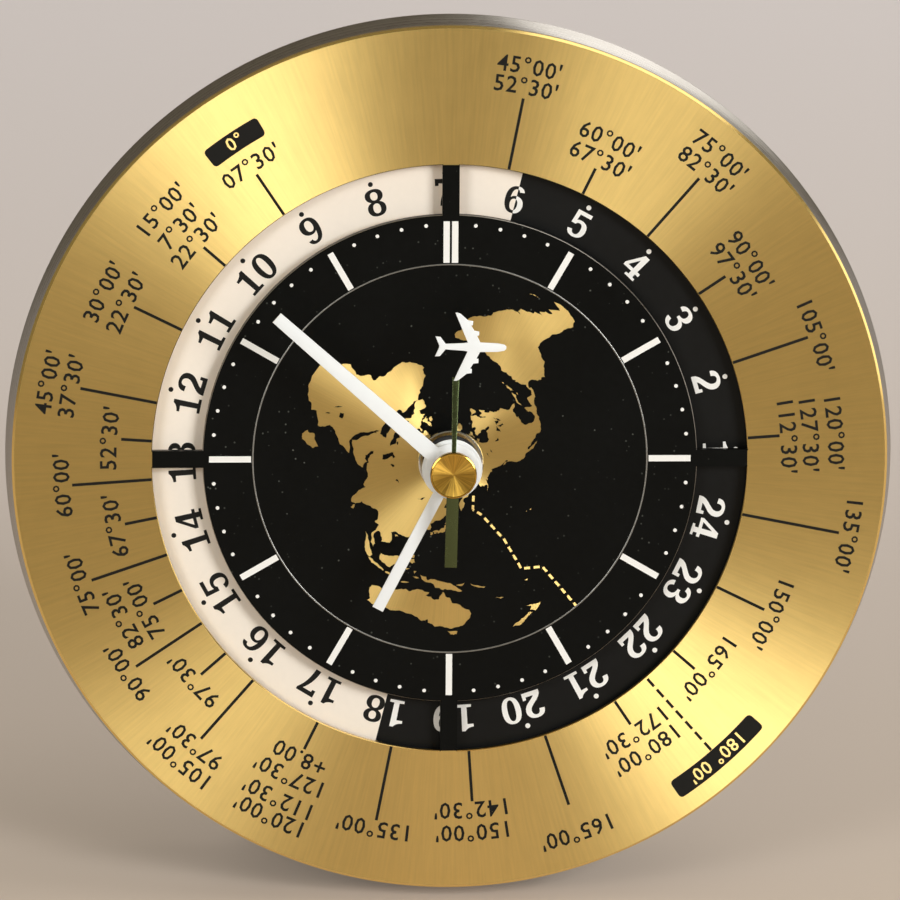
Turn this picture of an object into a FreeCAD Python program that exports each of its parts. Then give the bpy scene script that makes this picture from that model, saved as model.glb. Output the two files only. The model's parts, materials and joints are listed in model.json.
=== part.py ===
import FreeCAD, Part
import math
import os
from types import SimpleNamespace

import Sketcher
from FreeCAD import Vector

# A quartz world time desk clock: a brass front plate with four curved windows over a
# day and night disc that turns once in 24 hours, three hands, a spun metal rim, a drum
# behind with the movement and its wheels, and a foot that leans the face back.
#
# Clock frame, in which nearly every piece is drawn: the origin is the centre of the
# front plate's face, +X is to the viewer's right, +Y goes straight back into the clock
# (a "depth" is a Y value, and what stands in front of the face has a negative one) and
# +Z runs up the dial. seat() then leans the whole clock back over the table, where the
# origin is the middle of the foot's rubber sole and +Z is up.
#
# (name, millimetres or degrees, what it is)
SIZES = [
    ("lean", 8.0, "how far the face leans back from upright"),
    ("fit_gap", 0.05, "radial running clearance of every shaft and pivot"),
    ("seat_gap", 0.05, "clearance of a piece that sits still in another"),
    ("air", 0.3, "least gap between pieces that pass each other"),
    ("rim_lift", 0.3, "how far the rim stays above the table"),
    # day and night disc
    ("disc_radius", 46.0, "day and night disc"),
    ("disc_thickness", 0.6, "disc, thickness"),
    ("disc_gap", 1.0, "gap between the front plate and the disc"),
    ("day_wheel_height", 1.6, "height of the disc's toothed wheel"),
    ("day_hub_wall", 1.55, "wall of that wheel's hub"),
    # front plate
    ("plate_border", 11.1, "width of the plate outside the drum"),
    ("plate_thickness", 1.2, "front plate, thickness"),
    ("plate_bevel", 0.35, "polished bevel round its front edge"),
    ("disc_lap", 2.4, "how far the disc reaches past the windows"),
    ("window_width", 7.4, "width of the four curved windows"),
    ("bridge_width", 2.5, "width of the bridges between the windows"),
    # spun rim behind the plate
    ("rim_flare", 0.9, "how far the rim's back edge stands out past the plate"),
    ("rim_depth", 6.1, "depth of the rim's back edge behind the face"),
    ("rim_wall", 1.9, "thickness of the rim's wall"),
    ("rim_flange", 1.2, "thickness of the rim's flange behind the plate"),
    ("disc_room", 1.5, "gap between the disc's edge and that flange"),
    ("stud_inset", 4.0, "plate studs, outside the drum"),
    ("stud_radius", 1.0, "plate stud"),
    ("stud_nut_width", 4.0, "stud nut, across flats"),
    ("stud_nut_height", 1.8, "stud nut, height"),
    # drum
    ("drum_room", 4.8, "gap between the disc's edge and the drum's wall"),
    ("drum_wall", 2.2, "drum wall"),
    ("web_thickness", 2.0, "thickness of the web that carries the movement"),
    ("post_inset", 4.8, "cover's screw posts, inside the drum's wall"),
    ("post_radius", 2.6, "screw post"),
    ("pilot_radius", 0.85, "pilot hole for a self-tapping screw"),
    # back cover and battery door
    ("cover_room", 1.2, "gap between the battery bay and the cover"),
    ("cover_thickness", 1.8, "back cover, thickness"),
    ("cover_recess", 0.5, "how far the cover sits inside the drum's edge"),
    ("door_half_width", 28.7, "battery door, half width"),
    ("hinge_radius", 1.3, "hinge barrel"),
    ("hinge_pin_radius", 0.6, "hinge pin"),
    ("hinge_half_length", 12.0, "hinge barrel, half length"),
    ("lug_length", 2.6, "length of each hinge lug on the cover"),
    ("screw_radius", 1.1, "clearance hole and shank of the case screws"),
    ("screw_head_radius", 2.1, "head of the case screws"),
    ("screw_head_height", 1.3, "height of that head"),
    ("screw_length", 8.0, "length of the cover screws under the head"),
    # foot
    ("foot_gap", 0.6, "gap between the foot and the drum's front ring"),
    ("foot_length", 34.0, "length of the foot on the table"),
    ("foot_front_half", 15.0, "half width of the foot in front"),
    ("foot_rear_half", 26.0, "half width of the foot at the back"),
    ("foot_height", 13.5, "height of the foot's saddle above the table"),
    ("heel_height", 4.5, "height of the foot at its back end"),
    ("heel_start", 16.0, "where the foot's top starts to fall, from its front"),
    ("foot_corner", 3.0, "corner radius of the foot"),
    ("sole_thickness", 1.0, "rubber sole"),
    ("sole_inset", 1.5, "how far the sole stays inside the foot's outline"),
    ("foot_screw_depth", 16.0, "depth of the foot's screws behind the face"),
    ("foot_screw_side", 8.0, "sideways place of the foot's screws"),
    ("foot_screw_cover", 3.5, "foot under the drum at those screws"),
    ("boss_height", 5.0, "height of the bosses that the foot's screws bite into"),
    # arbor, pipes and bush, from the axis outwards
    ("arbor_radius", 1.0, "second arbor"),
    ("minute_pipe_wall", 1.1, "wall of the minute pipe"),
    ("hour_pipe_wall", 0.95, "wall of the hour pipe"),
    ("bush_wall", 0.7, "wall of the threaded bush"),
    ("bush_reach", 3.0, "how far the bush stands in front of the face"),
    ("shoulder_step", 1.1, "step from the bush to the shoulder of the day wheel"),
    ("journal_step", 0.55, "step from the minute pipe down to its rear journal"),
    ("nut_wall", 0.9, "wall of the round dial nut"),
    ("nut_height", 2.7, "dial nut, height"),
    ("washer_thickness", 0.5, "washer under the nut"),
    # hands; a level is how far a hand's front stands in front of the face
    ("hand_thickness", 0.4, "thickness of the hour and minute hands"),
    ("hour_level", 8.5, "hour hand"),
    ("hour_length", 23.4, "hour hand, axis to tip"),
    ("hour_width", 1.7, "hour hand, width"),
    ("hour_hub_rim", 1.25, "hub disc of the hour hand, outside its pipe"),
    ("hour_angle", 207.5, "hour hand, clockwise from 12"),
    ("minute_level", 9.9, "minute hand"),
    ("minute_length", 34.3, "minute hand, axis to tip"),
    ("minute_tip_width", 1.8, "minute hand, width at the tip"),
    ("minute_root_width", 2.4, "minute hand, width at the hub"),
    ("minute_hub_rim", 1.9, "hub disc of the minute hand, outside its pipe"),
    ("minute_angle", 311.5, "minute hand, clockwise from 12"),
    ("second_level", 12.7, "second hand"),
    ("second_thickness", 0.3, "second hand, thickness"),
    ("second_hub_rim", 1.0, "hub disc of the second hand, outside its arbor"),
    ("second_angle", 1.3, "second hand, clockwise from 12"),
    ("second_root_width", 0.6, "blade of the second hand at its hub"),
    ("second_end_width", 1.0, "blade of the second hand at the aeroplane"),
    ("tail_length", 13.8, "counterweight, axis to end"),
    ("tail_width", 1.8, "counterweight, width"),
    ("plane_offset", 18.9, "axis of the clock to the centre line of the aeroplane"),
    ("plane_length", 10.4, "aeroplane, nose to tail"),
    ("plane_span", 10.1, "aeroplane, wing tip to wing tip"),
    ("plane_tail", 3.2, "how far its tail lies behind the blade"),
    ("cap_radius", 3.4, "gilt cap of the second hand"),
    ("cap_height", 1.0, "cap, height"),
    ("cap_dish", 0.5, "depth of the cap's turned hollow"),
    # movement
    ("module_top", 28.0, "top of the movement above the axis"),
    ("front_plate", 1.6, "thickness of the movement's front plate"),
    ("chamber_depth", 12.8, "depth of the wheel chamber"),
    ("chamber_drop", 9.4, "floor of the wheel chamber below the axis"),
    ("train_wall", 1.4, "wall of the rear housing"),
    ("bay_wall", 1.0, "wall round the battery bay"),
    ("ear_reach", 5.5, "how far the fixing ears stand out"),
    ("ear_half_height", 3.0, "half height of an ear"),
    ("ear_level", 20.0, "height of the ears above and below the axis"),
    ("cell_radius", 7.25, "AA cell"),
    ("cell_length", 49.2, "AA cell without its tip"),
    ("cell_tip_radius", 2.75, "tip of the cell"),
    ("cell_tip_length", 1.3, "tip of the cell"),
    ("cell_room", 0.35, "gap round the cell in its bay"),
    ("contact_room", 1.35, "space for a contact at each end of the cell"),
    ("pivot_radius", 0.6, "pivots of the small wheels"),
    ("pivot_length", 0.9, "how deep a pivot sits in its bearing"),
    ("magnet_radius", 2.2, "rotor magnet"),
    ("day_shaft_radius", 1.4, "shaft of the minute wheel through the front plate"),
    ("knob_radius", 6.0, "setting knob"),
    ("knob_length", 5.0, "setting knob"),
    ("knob_gap", 1.0, "gap between the back cover and the knob"),
    ("knob_wall", 1.5, "knob behind the end of its arbor"),
    ("set_arbor_radius", 1.5, "arbor of the setting knob"),
]

# Wheel train. An axis is (x, z) in the clock frame; teeth are counts; modules are mm.
CENTRE = (0.0, 0.0)
PRESSURE_ANGLE = math.radians(20.0)
MINUTE_WHEEL_DISTANCE = 10.0
KNOB_BEARING = 30.0
THIRD_DISTANCE = 10.2
THIRD_BEARING = 165.0
FIFTH_DISTANCE = 10.8
FIFTH_BEARING = 75.0
ROTOR_DISTANCE = 5.6
ROTOR_BEARING = 60.0

STUD_BEARING = 45.0
POST_BEARING = 0.0

CANNON_TEETH = 12
MINUTE_WHEEL_TEETH = 36
KNOB_TEETH = 12
MINUTE_PINION_TEETH = 10
HOUR_TEETH = 40
DAY_PINION_TEETH = 8
DAY_TEETH = 64
SECOND_TEETH = 60
SECOND_PINION_TEETH = 8
THIRD_TEETH = 64
THIRD_PINION_TEETH = 8
CENTRE_TEETH = 60
FIFTH_TEETH = 48
FIFTH_PINION_TEETH = 12
ROTOR_TEETH = 8

doc = FreeCAD.newDocument("world_time_clock")
pieces = []


# ---------------------------------------------------------------- sheet and formulas

class Measure:
    """A number together with the sheet formula that it comes from."""

    def __init__(self, value, formula):
        self.value = value
        self.formula = formula

    def __add__(self, other):
        other = measure(other)
        return Measure(self.value + other.value, f"({self.formula} + {other.formula})")

    def __sub__(self, other):
        other = measure(other)
        return Measure(self.value - other.value, f"({self.formula} - {other.formula})")

    def __mul__(self, other):
        other = measure(other)
        return Measure(self.value * other.value, f"({self.formula} * {other.formula})")

    def __truediv__(self, other):
        other = measure(other)
        return Measure(self.value / other.value, f"({self.formula} / {other.formula})")

    def __neg__(self):
        return Measure(-self.value, f"(0 - {self.formula})")

    def __radd__(self, other):
        return measure(other) + self

    def __rsub__(self, other):
        return measure(other) - self


def measure(number):
    if isinstance(number, Measure):
        return number
    return Measure(float(number), repr(float(number)))


def cosine(angle):
    return Measure(math.cos(math.radians(angle.value)), f"cos({angle.formula})")


def sine(angle):
    return Measure(math.sin(math.radians(angle.value)), f"sin({angle.formula})")


def root(square):
    return Measure(math.sqrt(square.value), f"sqrt({square.formula})")


def fill_sheet():
    """Write every size into the sheet and hand back its cells as measures."""
    sheet = doc.addObject("Spreadsheet::Sheet", "sizes")
    cells = {}
    for row, (alias, value, note) in enumerate(SIZES, start=1):
        sheet.set(f"A{row}", alias)
        sheet.set(f"B{row}", str(value))
        sheet.setAlias(f"B{row}", alias)
        sheet.set(f"C{row}", note)
        cells[alias] = Measure(value, f"sizes.{alias}")
    doc.recompute()
    return SimpleNamespace(**cells)


size = fill_sheet()

# Radii that follow from the sizes, from the axis outwards.
minute_pipe = size.arbor_radius + size.fit_gap + size.minute_pipe_wall
hour_pipe = minute_pipe + size.fit_gap + size.hour_pipe_wall
bush_bore = hour_pipe + size.fit_gap
bush_radius = bush_bore + size.bush_wall
shoulder_radius = bush_radius + size.shoulder_step
journal_radius = minute_pipe - size.journal_step
disc_seat = shoulder_radius + size.fit_gap + size.day_hub_wall
nut_radius = bush_radius + size.nut_wall
window_outer = size.disc_radius - size.disc_lap
window_inner = window_outer - size.window_width
rim_opening = size.disc_radius + size.disc_room
drum_bore = size.disc_radius + size.drum_room
drum_radius = drum_bore + size.drum_wall
plate_radius = drum_radius + size.plate_border
rim_radius = plate_radius + size.rim_flare
ring_radius = plate_radius - size.rim_wall - size.air
stud_circle = drum_radius + size.stud_inset
post_circle = drum_bore - size.post_inset

# Depths, from the face backwards.
plate_back = size.plate_thickness
flange_back = plate_back + size.rim_flange
disc_front = plate_back + size.disc_gap
disc_back = disc_front + size.disc_thickness
day_wheel_back = disc_back + size.day_wheel_height
module_front = day_wheel_back + size.air * 2
web_back = module_front + size.web_thickness
gear_front = module_front + size.front_plate
gear_back = gear_front + size.chamber_depth
train_end = gear_back + size.train_wall
bay_front = gear_front + size.train_wall
cell_depth = bay_front + size.cell_room + size.cell_radius
bay_end = cell_depth + size.cell_radius + size.seat_gap * 3
cover_front = bay_end + size.cover_room
cover_back = cover_front + size.cover_thickness
drum_end = cover_back + size.cover_recess
hinge_depth = cover_back - size.cover_thickness / 2
hinge_depth = cover_back - size.cover_thickness / 2
knob_front = cover_back + size.knob_gap

# Heights and half widths of the movement and of the door behind it.
train_floor = -(size.chamber_drop + size.train_wall)
bay_top = train_floor - size.bay_wall
cell_height = bay_top - size.cell_room - size.cell_radius
bay_bottom = cell_height - size.cell_radius - size.cell_room
module_bottom = bay_bottom - size.bay_wall
cell_half = (size.cell_length + size.cell_tip_length) / 2
inside_half = cell_half + size.contact_room
module_half = inside_half + size.train_wall
ear_middle = module_half + size.ear_reach / 2
coil_height = size.module_top - size.train_wall - 3.6
hinge_height = bay_top + 2.4
leaf_top = hinge_height - size.hinge_radius - size.air
leaf_bottom = module_bottom - 0.2

# Where the clock stands on its foot.
foot_front = (web_back * cosine(size.lean) - drum_radius * sine(size.lean)
              + size.foot_gap)
foot_screw_head = drum_radius + size.foot_screw_cover
face_height = (rim_radius * cosine(size.lean) + size.rim_depth * sine(size.lean)
               + size.rim_lift)
face_setback = -(foot_front + size.foot_length / 2)


# ------------------------------------------------------------------------- helpers

def bind(owner, name, value):
    """Set a property and tie it to its formula."""
    value = measure(value)
    setattr(owner, name, value.value)
    owner.setExpression(name, value.formula)


def polar(distance, bearing, about=CENTRE):
    """The point at a distance and a bearing in degrees (from +X towards +Z)."""
    angle = math.radians(bearing)
    return (about[0] + distance * math.cos(angle), about[1] + distance * math.sin(angle))


MINUTE_WHEEL_AT = polar(MINUTE_WHEEL_DISTANCE, 0.0)
KNOB_AT = polar(MINUTE_WHEEL_DISTANCE, KNOB_BEARING, MINUTE_WHEEL_AT)
THIRD_AT = polar(THIRD_DISTANCE, THIRD_BEARING)
FIFTH_AT = polar(FIFTH_DISTANCE, FIFTH_BEARING)
ROTOR_AT = polar(ROTOR_DISTANCE, ROTOR_BEARING, FIFTH_AT)


def seat(piece, turn=None):
    """Lean a piece back with the clock and put it over the foot; turn is a hand's angle."""
    spin = f" * rotation(vector(0; 1; 0); {turn.formula})" if turn else ""
    piece.setExpression("Placement", (
        f"placement(vector(0; {face_setback.formula}; {face_height.formula}); "
        f"rotation(vector(1; 0; 0); 0 - {size.lean.formula}){spin})"))
    pieces.append(piece)
    return piece


def new_body(name):
    body = doc.addObject("PartDesign::Body", name)
    body.Label = name
    return body


def new_sketch(body, name, role, offset=None):
    """A sketch on one of the body's own planes, moved along the plane's normal."""
    sketch = body.newObject("Sketcher::SketchObject", name)
    plane = next(item for item in body.Origin.OriginFeatures if item.Role == role)
    sketch.AttachmentSupport = [(plane, "")]
    sketch.MapMode = "FlatFace"
    if offset is not None:
        sketch.setExpression("AttachmentOffset.Base.z", measure(offset).formula)
    return sketch


def hold(sketch, kind, geometry, point, value):
    """One signed distance from the sketch's origin, tied to a formula."""
    value = measure(value)
    index = sketch.addConstraint(
        Sketcher.Constraint(kind, -1, 1, geometry, point, value.value))
    sketch.setExpression(f"Constraints[{index}]", value.formula)


def polygon(sketch, corners):
    """A closed outline of straight lines, each corner held by two formulas."""
    points = [(measure(across), measure(along)) for across, along in corners]
    first = sketch.GeometryCount
    count = len(points)
    for number in range(count):
        start = points[number]
        end = points[(number + 1) % count]
        sketch.addGeometry(Part.LineSegment(
            Vector(start[0].value, start[1].value, 0),
            Vector(end[0].value, end[1].value, 0)), False)
    for number in range(count):
        follower = first + (number + 1) % count
        sketch.addConstraint(
            Sketcher.Constraint("Coincident", first + number, 2, follower, 1))
    for number, (across, along) in enumerate(points):
        hold(sketch, "DistanceX", first + number, 1, across)
        hold(sketch, "DistanceY", first + number, 1, along)
    return sketch


def rectangle(sketch, low, high):
    """An upright rectangle between two opposite corners."""
    return polygon(sketch, [low, (high[0], low[1]), high, (low[0], high[1])])


def circle(sketch, across, along, radius):
    across, along, radius = measure(across), measure(along), measure(radius)
    index = sketch.addGeometry(Part.Circle(
        Vector(across.value, along.value, 0), Vector(0, 0, 1), radius.value), False)
    hold(sketch, "DistanceX", index, 3, across)
    hold(sketch, "DistanceY", index, 3, along)
    held = sketch.addConstraint(Sketcher.Constraint("Radius", index, radius.value))
    sketch.setExpression(f"Constraints[{held}]", radius.formula)
    return sketch


def turn_profile(body, name, corners):
    """Turn a (radius, depth) outline about the clock's axis."""
    sketch = polygon(new_sketch(body, f"{name}_profile", "XY_Plane"), corners)
    turned = body.newObject("PartDesign::Revolution", name)
    turned.Profile = (sketch, [""])
    turned.ReferenceAxis = (sketch, ["V_Axis"])
    turned.Angle = 360
    return turned


def turned_body(name, corners):
    body = new_body(name)
    turn_profile(body, f"{name}_turn", corners)
    return body


def dial_sketch(body, name, depth):
    """A sketch parallel to the dial, at a depth behind its face."""
    return new_sketch(body, name, "XZ_Plane", -measure(depth))


def pad_back(body, sketch, length):
    """Thicken a dial sketch away from the viewer."""
    pad = body.newObject("PartDesign::Pad", f"{sketch.Name}_pad")
    pad.Profile = (sketch, [""])
    bind(pad, "Length", length)
    pad.Reversed = True
    return pad


def cut_back(body, sketch, length=None):
    """Cut a dial sketch away from the viewer, or right through without a length."""
    pocket = body.newObject("PartDesign::Pocket", f"{sketch.Name}_cut")
    pocket.Profile = (sketch, [""])
    if length is None:
        pocket.Type = "ThroughAll"
        pocket.Midplane = True
    else:
        bind(pocket, "Length", length)
    return pocket


def repeat_round(body, feature, count):
    """Repeat a feature evenly round the clock's axis."""
    pattern = body.newObject("PartDesign::PolarPattern", f"{feature.Name}_round")
    pattern.Originals = [feature]
    axis = next(item for item in body.Origin.OriginFeatures if item.Role == "Y_Axis")
    pattern.Axis = (axis, [""])
    pattern.Angle = 360
    pattern.Occurrences = count
    body.Tip = pattern
    return pattern


def bore(radius, at, front, back):
    """A plain cylinder along the clock's depth, as a shape."""
    return Part.makeCylinder(radius, back - front, Vector(at[0], front, at[1]),
                             Vector(0, 1, 0))


def feature(name, shape):
    """A piece whose shape is made by formula rather than by a sketch."""
    piece = doc.addObject("Part::Feature", name)
    piece.Label = name
    piece.Shape = shape
    return seat(piece)


# --------------------------------------------------------------------------- case

def dial_plate():
    body = new_body("dial_plate")
    hole = bush_radius + size.seat_gap
    bevel = size.plate_bevel
    turn_profile(body, "plate_disc", [
        (hole, 0), (plate_radius - bevel, 0), (plate_radius, bevel),
        (plate_radius, plate_back), (hole, plate_back)])
    half = size.bridge_width / 2
    inner_end = root(window_inner * window_inner - half * half)
    outer_end = root(window_outer * window_outer - half * half)
    sketch = dial_sketch(body, "window", 0)
    for radius, end in ((window_inner, inner_end), (window_outer, outer_end)):
        start = math.asin(half.value / radius.value)
        arc = sketch.addGeometry(Part.ArcOfCircle(
            Part.Circle(Vector(0, 0, 0), Vector(0, 0, 1), radius.value),
            start, math.pi / 2 - start), False)
        sketch.addConstraint(Sketcher.Constraint("Coincident", arc, 3, -1, 1))
        held = sketch.addConstraint(Sketcher.Constraint("Radius", arc, radius.value))
        sketch.setExpression(f"Constraints[{held}]", radius.formula)
        hold(sketch, "DistanceY", arc, 1, half)
        hold(sketch, "DistanceX", arc, 2, half)
    for near, far in (((half, inner_end), (half, outer_end)),
                      ((outer_end, half), (inner_end, half))):
        sketch.addGeometry(Part.LineSegment(
            Vector(near[0].value, near[1].value, 0),
            Vector(far[0].value, far[1].value, 0)), False)
    for joined in ((0, 2, 2, 1), (2, 2, 1, 2), (1, 1, 3, 1), (3, 2, 0, 1)):
        sketch.addConstraint(Sketcher.Constraint("Coincident", *joined))
    doc.recompute()
    repeat_round(body, cut_back(body, sketch), 4)
    return seat(body)


def ring_of_holes(body, name, circle_radius, hole_radius, bearing):
    """Four through holes on a circle, the first at a bearing in degrees."""
    turn = measure(bearing)
    sketch = circle(dial_sketch(body, name, 0), circle_radius * cosine(turn),
                    circle_radius * sine(turn), hole_radius)
    doc.recompute()
    return repeat_round(body, cut_back(body, sketch), 4)


def case_rim():
    """Spun rim: a flared wall with an inner flange that backs the front plate."""
    body = turned_body("case_rim", [
        (rim_opening, plate_back),
        (plate_radius, plate_back),
        (rim_radius, size.rim_depth),
        (rim_radius - size.rim_wall, size.rim_depth),
        (plate_radius - size.rim_wall, flange_back),
        (rim_opening, flange_back)])
    ring_of_holes(body, "stud_hole", stud_circle, size.stud_radius + size.seat_gap,
                  STUD_BEARING)
    return seat(body)


def case_drum():
    """Moulded drum: a thick front ring, a web that carries the movement, and the wall."""
    body = turned_body("case_drum", [
        (0, module_front), (drum_bore, module_front), (drum_bore, flange_back),
        (ring_radius, flange_back), (ring_radius, web_back),
        (drum_radius, web_back), (drum_radius, drum_end),
        (drum_bore, drum_end), (drum_bore, web_back), (0, web_back)])
    half = module_half + size.air
    opening = rectangle(dial_sketch(body, "module_opening", 0),
                        (-half, module_bottom - size.air), (half, size.module_top + size.air))
    doc.recompute()
    cut_back(body, opening)
    ring_of_holes(body, "stud_hole", stud_circle, size.stud_radius + size.seat_gap,
                  STUD_BEARING)
    post = circle(dial_sketch(body, "post", web_back), post_circle, 0, size.post_radius)
    doc.recompute()
    repeat_round(body, pad_back(body, post, cover_front - web_back), 4)
    pilot = circle(dial_sketch(body, "post_pilot", cover_front - size.screw_length),
                   post_circle, 0, size.pilot_radius)
    doc.recompute()
    repeat_round(body, cut_back(body, pilot, size.screw_length), 4)
    ear_hole = dial_sketch(body, "ear_pilot", 0)
    for side in (-1, 1):
        for level in (-1, 1):
            circle(ear_hole, ear_middle * side, size.ear_level * level,
                   size.pilot_radius)
    doc.recompute()
    cut_back(body, ear_hole)
    for side in (-1, 1):
        boss = new_sketch(body, f"boss_{'left' if side < 0 else 'right'}", "XY_Plane",
                          size.boss_height - drum_bore)
        circle(boss, size.foot_screw_side * side, size.foot_screw_depth, size.post_radius)
        doc.recompute()
        pad = body.newObject("PartDesign::Pad", f"{boss.Name}_pad")
        pad.Profile = (boss, [""])
        pad.Reversed = True
        bind(pad, "Length", size.boss_height)
        pilot = new_sketch(body, f"{boss.Name}_pilot", "XY_Plane",
                           size.boss_height - drum_bore - 1)
        circle(pilot, size.foot_screw_side * side, size.foot_screw_depth,
               size.screw_radius + size.seat_gap)
        doc.recompute()
        pocket = body.newObject("PartDesign::Pocket", f"{pilot.Name}_cut")
        pocket.Profile = (pilot, [""])
        bind(pocket, "Length", size.boss_height + size.drum_wall * 2)
    return seat(body)


def back_cover():
    body = turned_body("back_cover", [
        (0, cover_front), (drum_bore - size.fit_gap * 4, cover_front),
        (drum_bore - size.fit_gap * 4, cover_back), (0, cover_back)])
    wide = size.door_half_width + size.air
    narrow = size.hinge_half_length + size.lug_length + size.air * 2
    step = leaf_top + size.air
    top = hinge_height + size.hinge_radius + size.air
    opening = polygon(dial_sketch(body, "door_opening", 0), [
        (-wide, leaf_bottom - size.air), (wide, leaf_bottom - size.air), (wide, step),
        (narrow, step), (narrow, top), (-narrow, top), (-narrow, step), (-wide, step)])
    doc.recompute()
    cut_back(body, opening)
    knob_hole = circle(dial_sketch(body, "knob_hole", 0), KNOB_AT[0], KNOB_AT[1],
                       size.set_arbor_radius + size.air * 2)
    doc.recompute()
    cut_back(body, knob_hole)
    ring_of_holes(body, "screw_hole", post_circle, size.screw_radius + size.seat_gap,
                  POST_BEARING)
    for side in (-1, 1):
        start = (size.hinge_half_length + size.air) * side
        sketch = new_sketch(body, f"lug_{'left' if side < 0 else 'right'}", "YZ_Plane", start)
        circle(sketch, hinge_depth, hinge_height, size.hinge_radius)
        bridge = new_sketch(body, f"{sketch.Name}_arm", "YZ_Plane", start)
        rectangle(bridge, (hinge_depth - size.hinge_radius / 2, hinge_height),
                  (hinge_depth + size.hinge_radius / 2,
                   hinge_height + size.hinge_radius + size.air * 2))
        hole = new_sketch(body, f"{sketch.Name}_bore", "YZ_Plane", start)
        circle(hole, hinge_depth, hinge_height, size.hinge_pin_radius + size.seat_gap)
        doc.recompute()
        for profile in (sketch, bridge):
            pad = body.newObject("PartDesign::Pad", f"{profile.Name}_pad")
            pad.Profile = (profile, [""])
            pad.Reversed = side < 0
            bind(pad, "Length", size.lug_length)
        pocket = body.newObject("PartDesign::Pocket", f"{hole.Name}_cut")
        pocket.Profile = (hole, [""])
        pocket.Reversed = side > 0
        bind(pocket, "Length", size.lug_length)
    return seat(body)


def battery_door():
    body = new_body("battery_door")
    leaf = rectangle(dial_sketch(body, "leaf", cover_front),
                     (-size.door_half_width, leaf_bottom),
                     (size.door_half_width, leaf_top))
    doc.recompute()
    pad_back(body, leaf, size.cover_thickness)
    neck = rectangle(dial_sketch(body, "neck", hinge_depth - size.hinge_radius / 2),
                     (-size.hinge_half_length, leaf_top - size.air),
                     (size.hinge_half_length, hinge_height))
    doc.recompute()
    pad_back(body, neck, size.hinge_radius)
    barrel = circle(new_sketch(body, "barrel", "YZ_Plane"),
                    hinge_depth, hinge_height, size.hinge_radius)
    doc.recompute()
    pad = body.newObject("PartDesign::Pad", "barrel_pad")
    pad.Profile = (barrel, [""])
    pad.Midplane = True
    bind(pad, "Length", size.hinge_half_length * 2)
    hole = circle(new_sketch(body, "pin_hole", "YZ_Plane"),
                  hinge_depth, hinge_height, size.hinge_pin_radius + size.fit_gap)
    doc.recompute()
    pocket = body.newObject("PartDesign::Pocket", "pin_hole_cut")
    pocket.Profile = (hole, [""])
    pocket.Type = "ThroughAll"
    pocket.Midplane = True
    grip = rectangle(dial_sketch(body, "thumb_grip", cover_back - size.cover_thickness / 3),
                     (-size.knob_radius, leaf_bottom + 1.5),
                     (size.knob_radius, leaf_bottom + 4.5))
    doc.recompute()
    cut_back(body, grip, size.cover_thickness / 3)
    return seat(body)


def door_hinge_pin():
    pin = doc.addObject("Part::Cylinder", "door_hinge_pin")
    pin.Label = "door_hinge_pin"
    reach = size.hinge_half_length + size.air + size.lug_length
    bind(pin, "Radius", size.hinge_pin_radius)
    bind(pin, "Height", reach * 2)
    pin.setExpression("Placement", (
        f"placement(vector(0; {face_setback.formula}; {face_height.formula}); "
        f"rotation(vector(1; 0; 0); 0 - {size.lean.formula})) * "
        f"placement(vector(0 - {reach.formula}; {hinge_depth.formula}; "
        f"{hinge_height.formula}); rotation(vector(0; 1; 0); 90))"))
    pieces.append(pin)
    return pin


def screw(at, head_front, head_back, tip, head_radius, shank_radius):
    """A pan head with a cross slot, and its shank, along the clock's depth."""
    head = bore(head_radius, at, head_front, head_back)
    shank = bore(shank_radius, at, tip, head_front)
    slot_depth = (head_back - head_front) / 2
    slot_width = head_radius / 4
    for across, along in ((head_radius, slot_width), (slot_width, head_radius)):
        slot = Part.makeBox(across * 1.4, slot_depth, along * 1.4, Vector(
            at[0] - across * 0.7, head_back - slot_depth, at[1] - along * 0.7))
        head = head.cut(slot)
    return head.fuse(shank)


def four_points(radius, bearing):
    return [polar(radius, bearing + 90 * quarter) for quarter in range(4)]


thread_radius = size.pilot_radius.value - size.seat_gap.value


def cover_screws():
    head = size.screw_head_height.value
    tip = cover_front.value - size.screw_length.value + size.air.value
    return feature("cover_screws", Part.makeCompound([
        screw(at, cover_back.value, cover_back.value + head, tip,
              size.screw_head_radius.value, thread_radius)
        for at in four_points(post_circle.value, POST_BEARING)]))


def ear_points():
    reach = ear_middle.value
    level = size.ear_level.value
    return [(reach, level), (-reach, level), (-reach, -level), (reach, -level)]


def movement_screws():
    ear_back = web_back.value + size.front_plate.value
    return feature("movement_screws", Part.makeCompound([
        screw(at, ear_back, ear_back + size.screw_head_height.value,
              module_front.value + size.air.value,
              size.screw_head_radius.value, thread_radius)
        for at in ear_points()]))


def plate_studs():
    end = web_back.value + size.stud_nut_height.value + size.air.value
    return feature("plate_studs", Part.makeCompound([
        bore(size.stud_radius.value, at, plate_back.value, end)
        for at in four_points(stud_circle.value, STUD_BEARING)]))


def stud_nuts():
    nuts = []
    corner = size.stud_nut_width.value / 2 / math.cos(math.pi / 6)
    front = web_back.value
    for at in four_points(stud_circle.value, STUD_BEARING):
        corners = [polar(corner, 60 * number, at) for number in range(7)]
        face = Part.Face(Part.makePolygon([Vector(x, front, z) for x, z in corners]))
        nut = face.extrude(Vector(0, size.stud_nut_height.value, 0))
        hole = bore(size.stud_radius.value + size.seat_gap.value, at, front - 1,
                    front + size.stud_nut_height.value + 1)
        nuts.append(nut.cut(hole))
    return feature("stud_nuts", Part.makeCompound(nuts))


# --------------------------------------------------------------------------- foot

def foot_outline(sketch, inset):
    """The foot's plan on the table, with the front towards -Y."""
    front = size.foot_length / 2 - inset
    return polygon(sketch, [
        (-(size.foot_front_half - inset), -front), (size.foot_front_half - inset, -front),
        (size.foot_rear_half - inset, front), (-(size.foot_rear_half - inset), front)])


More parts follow.
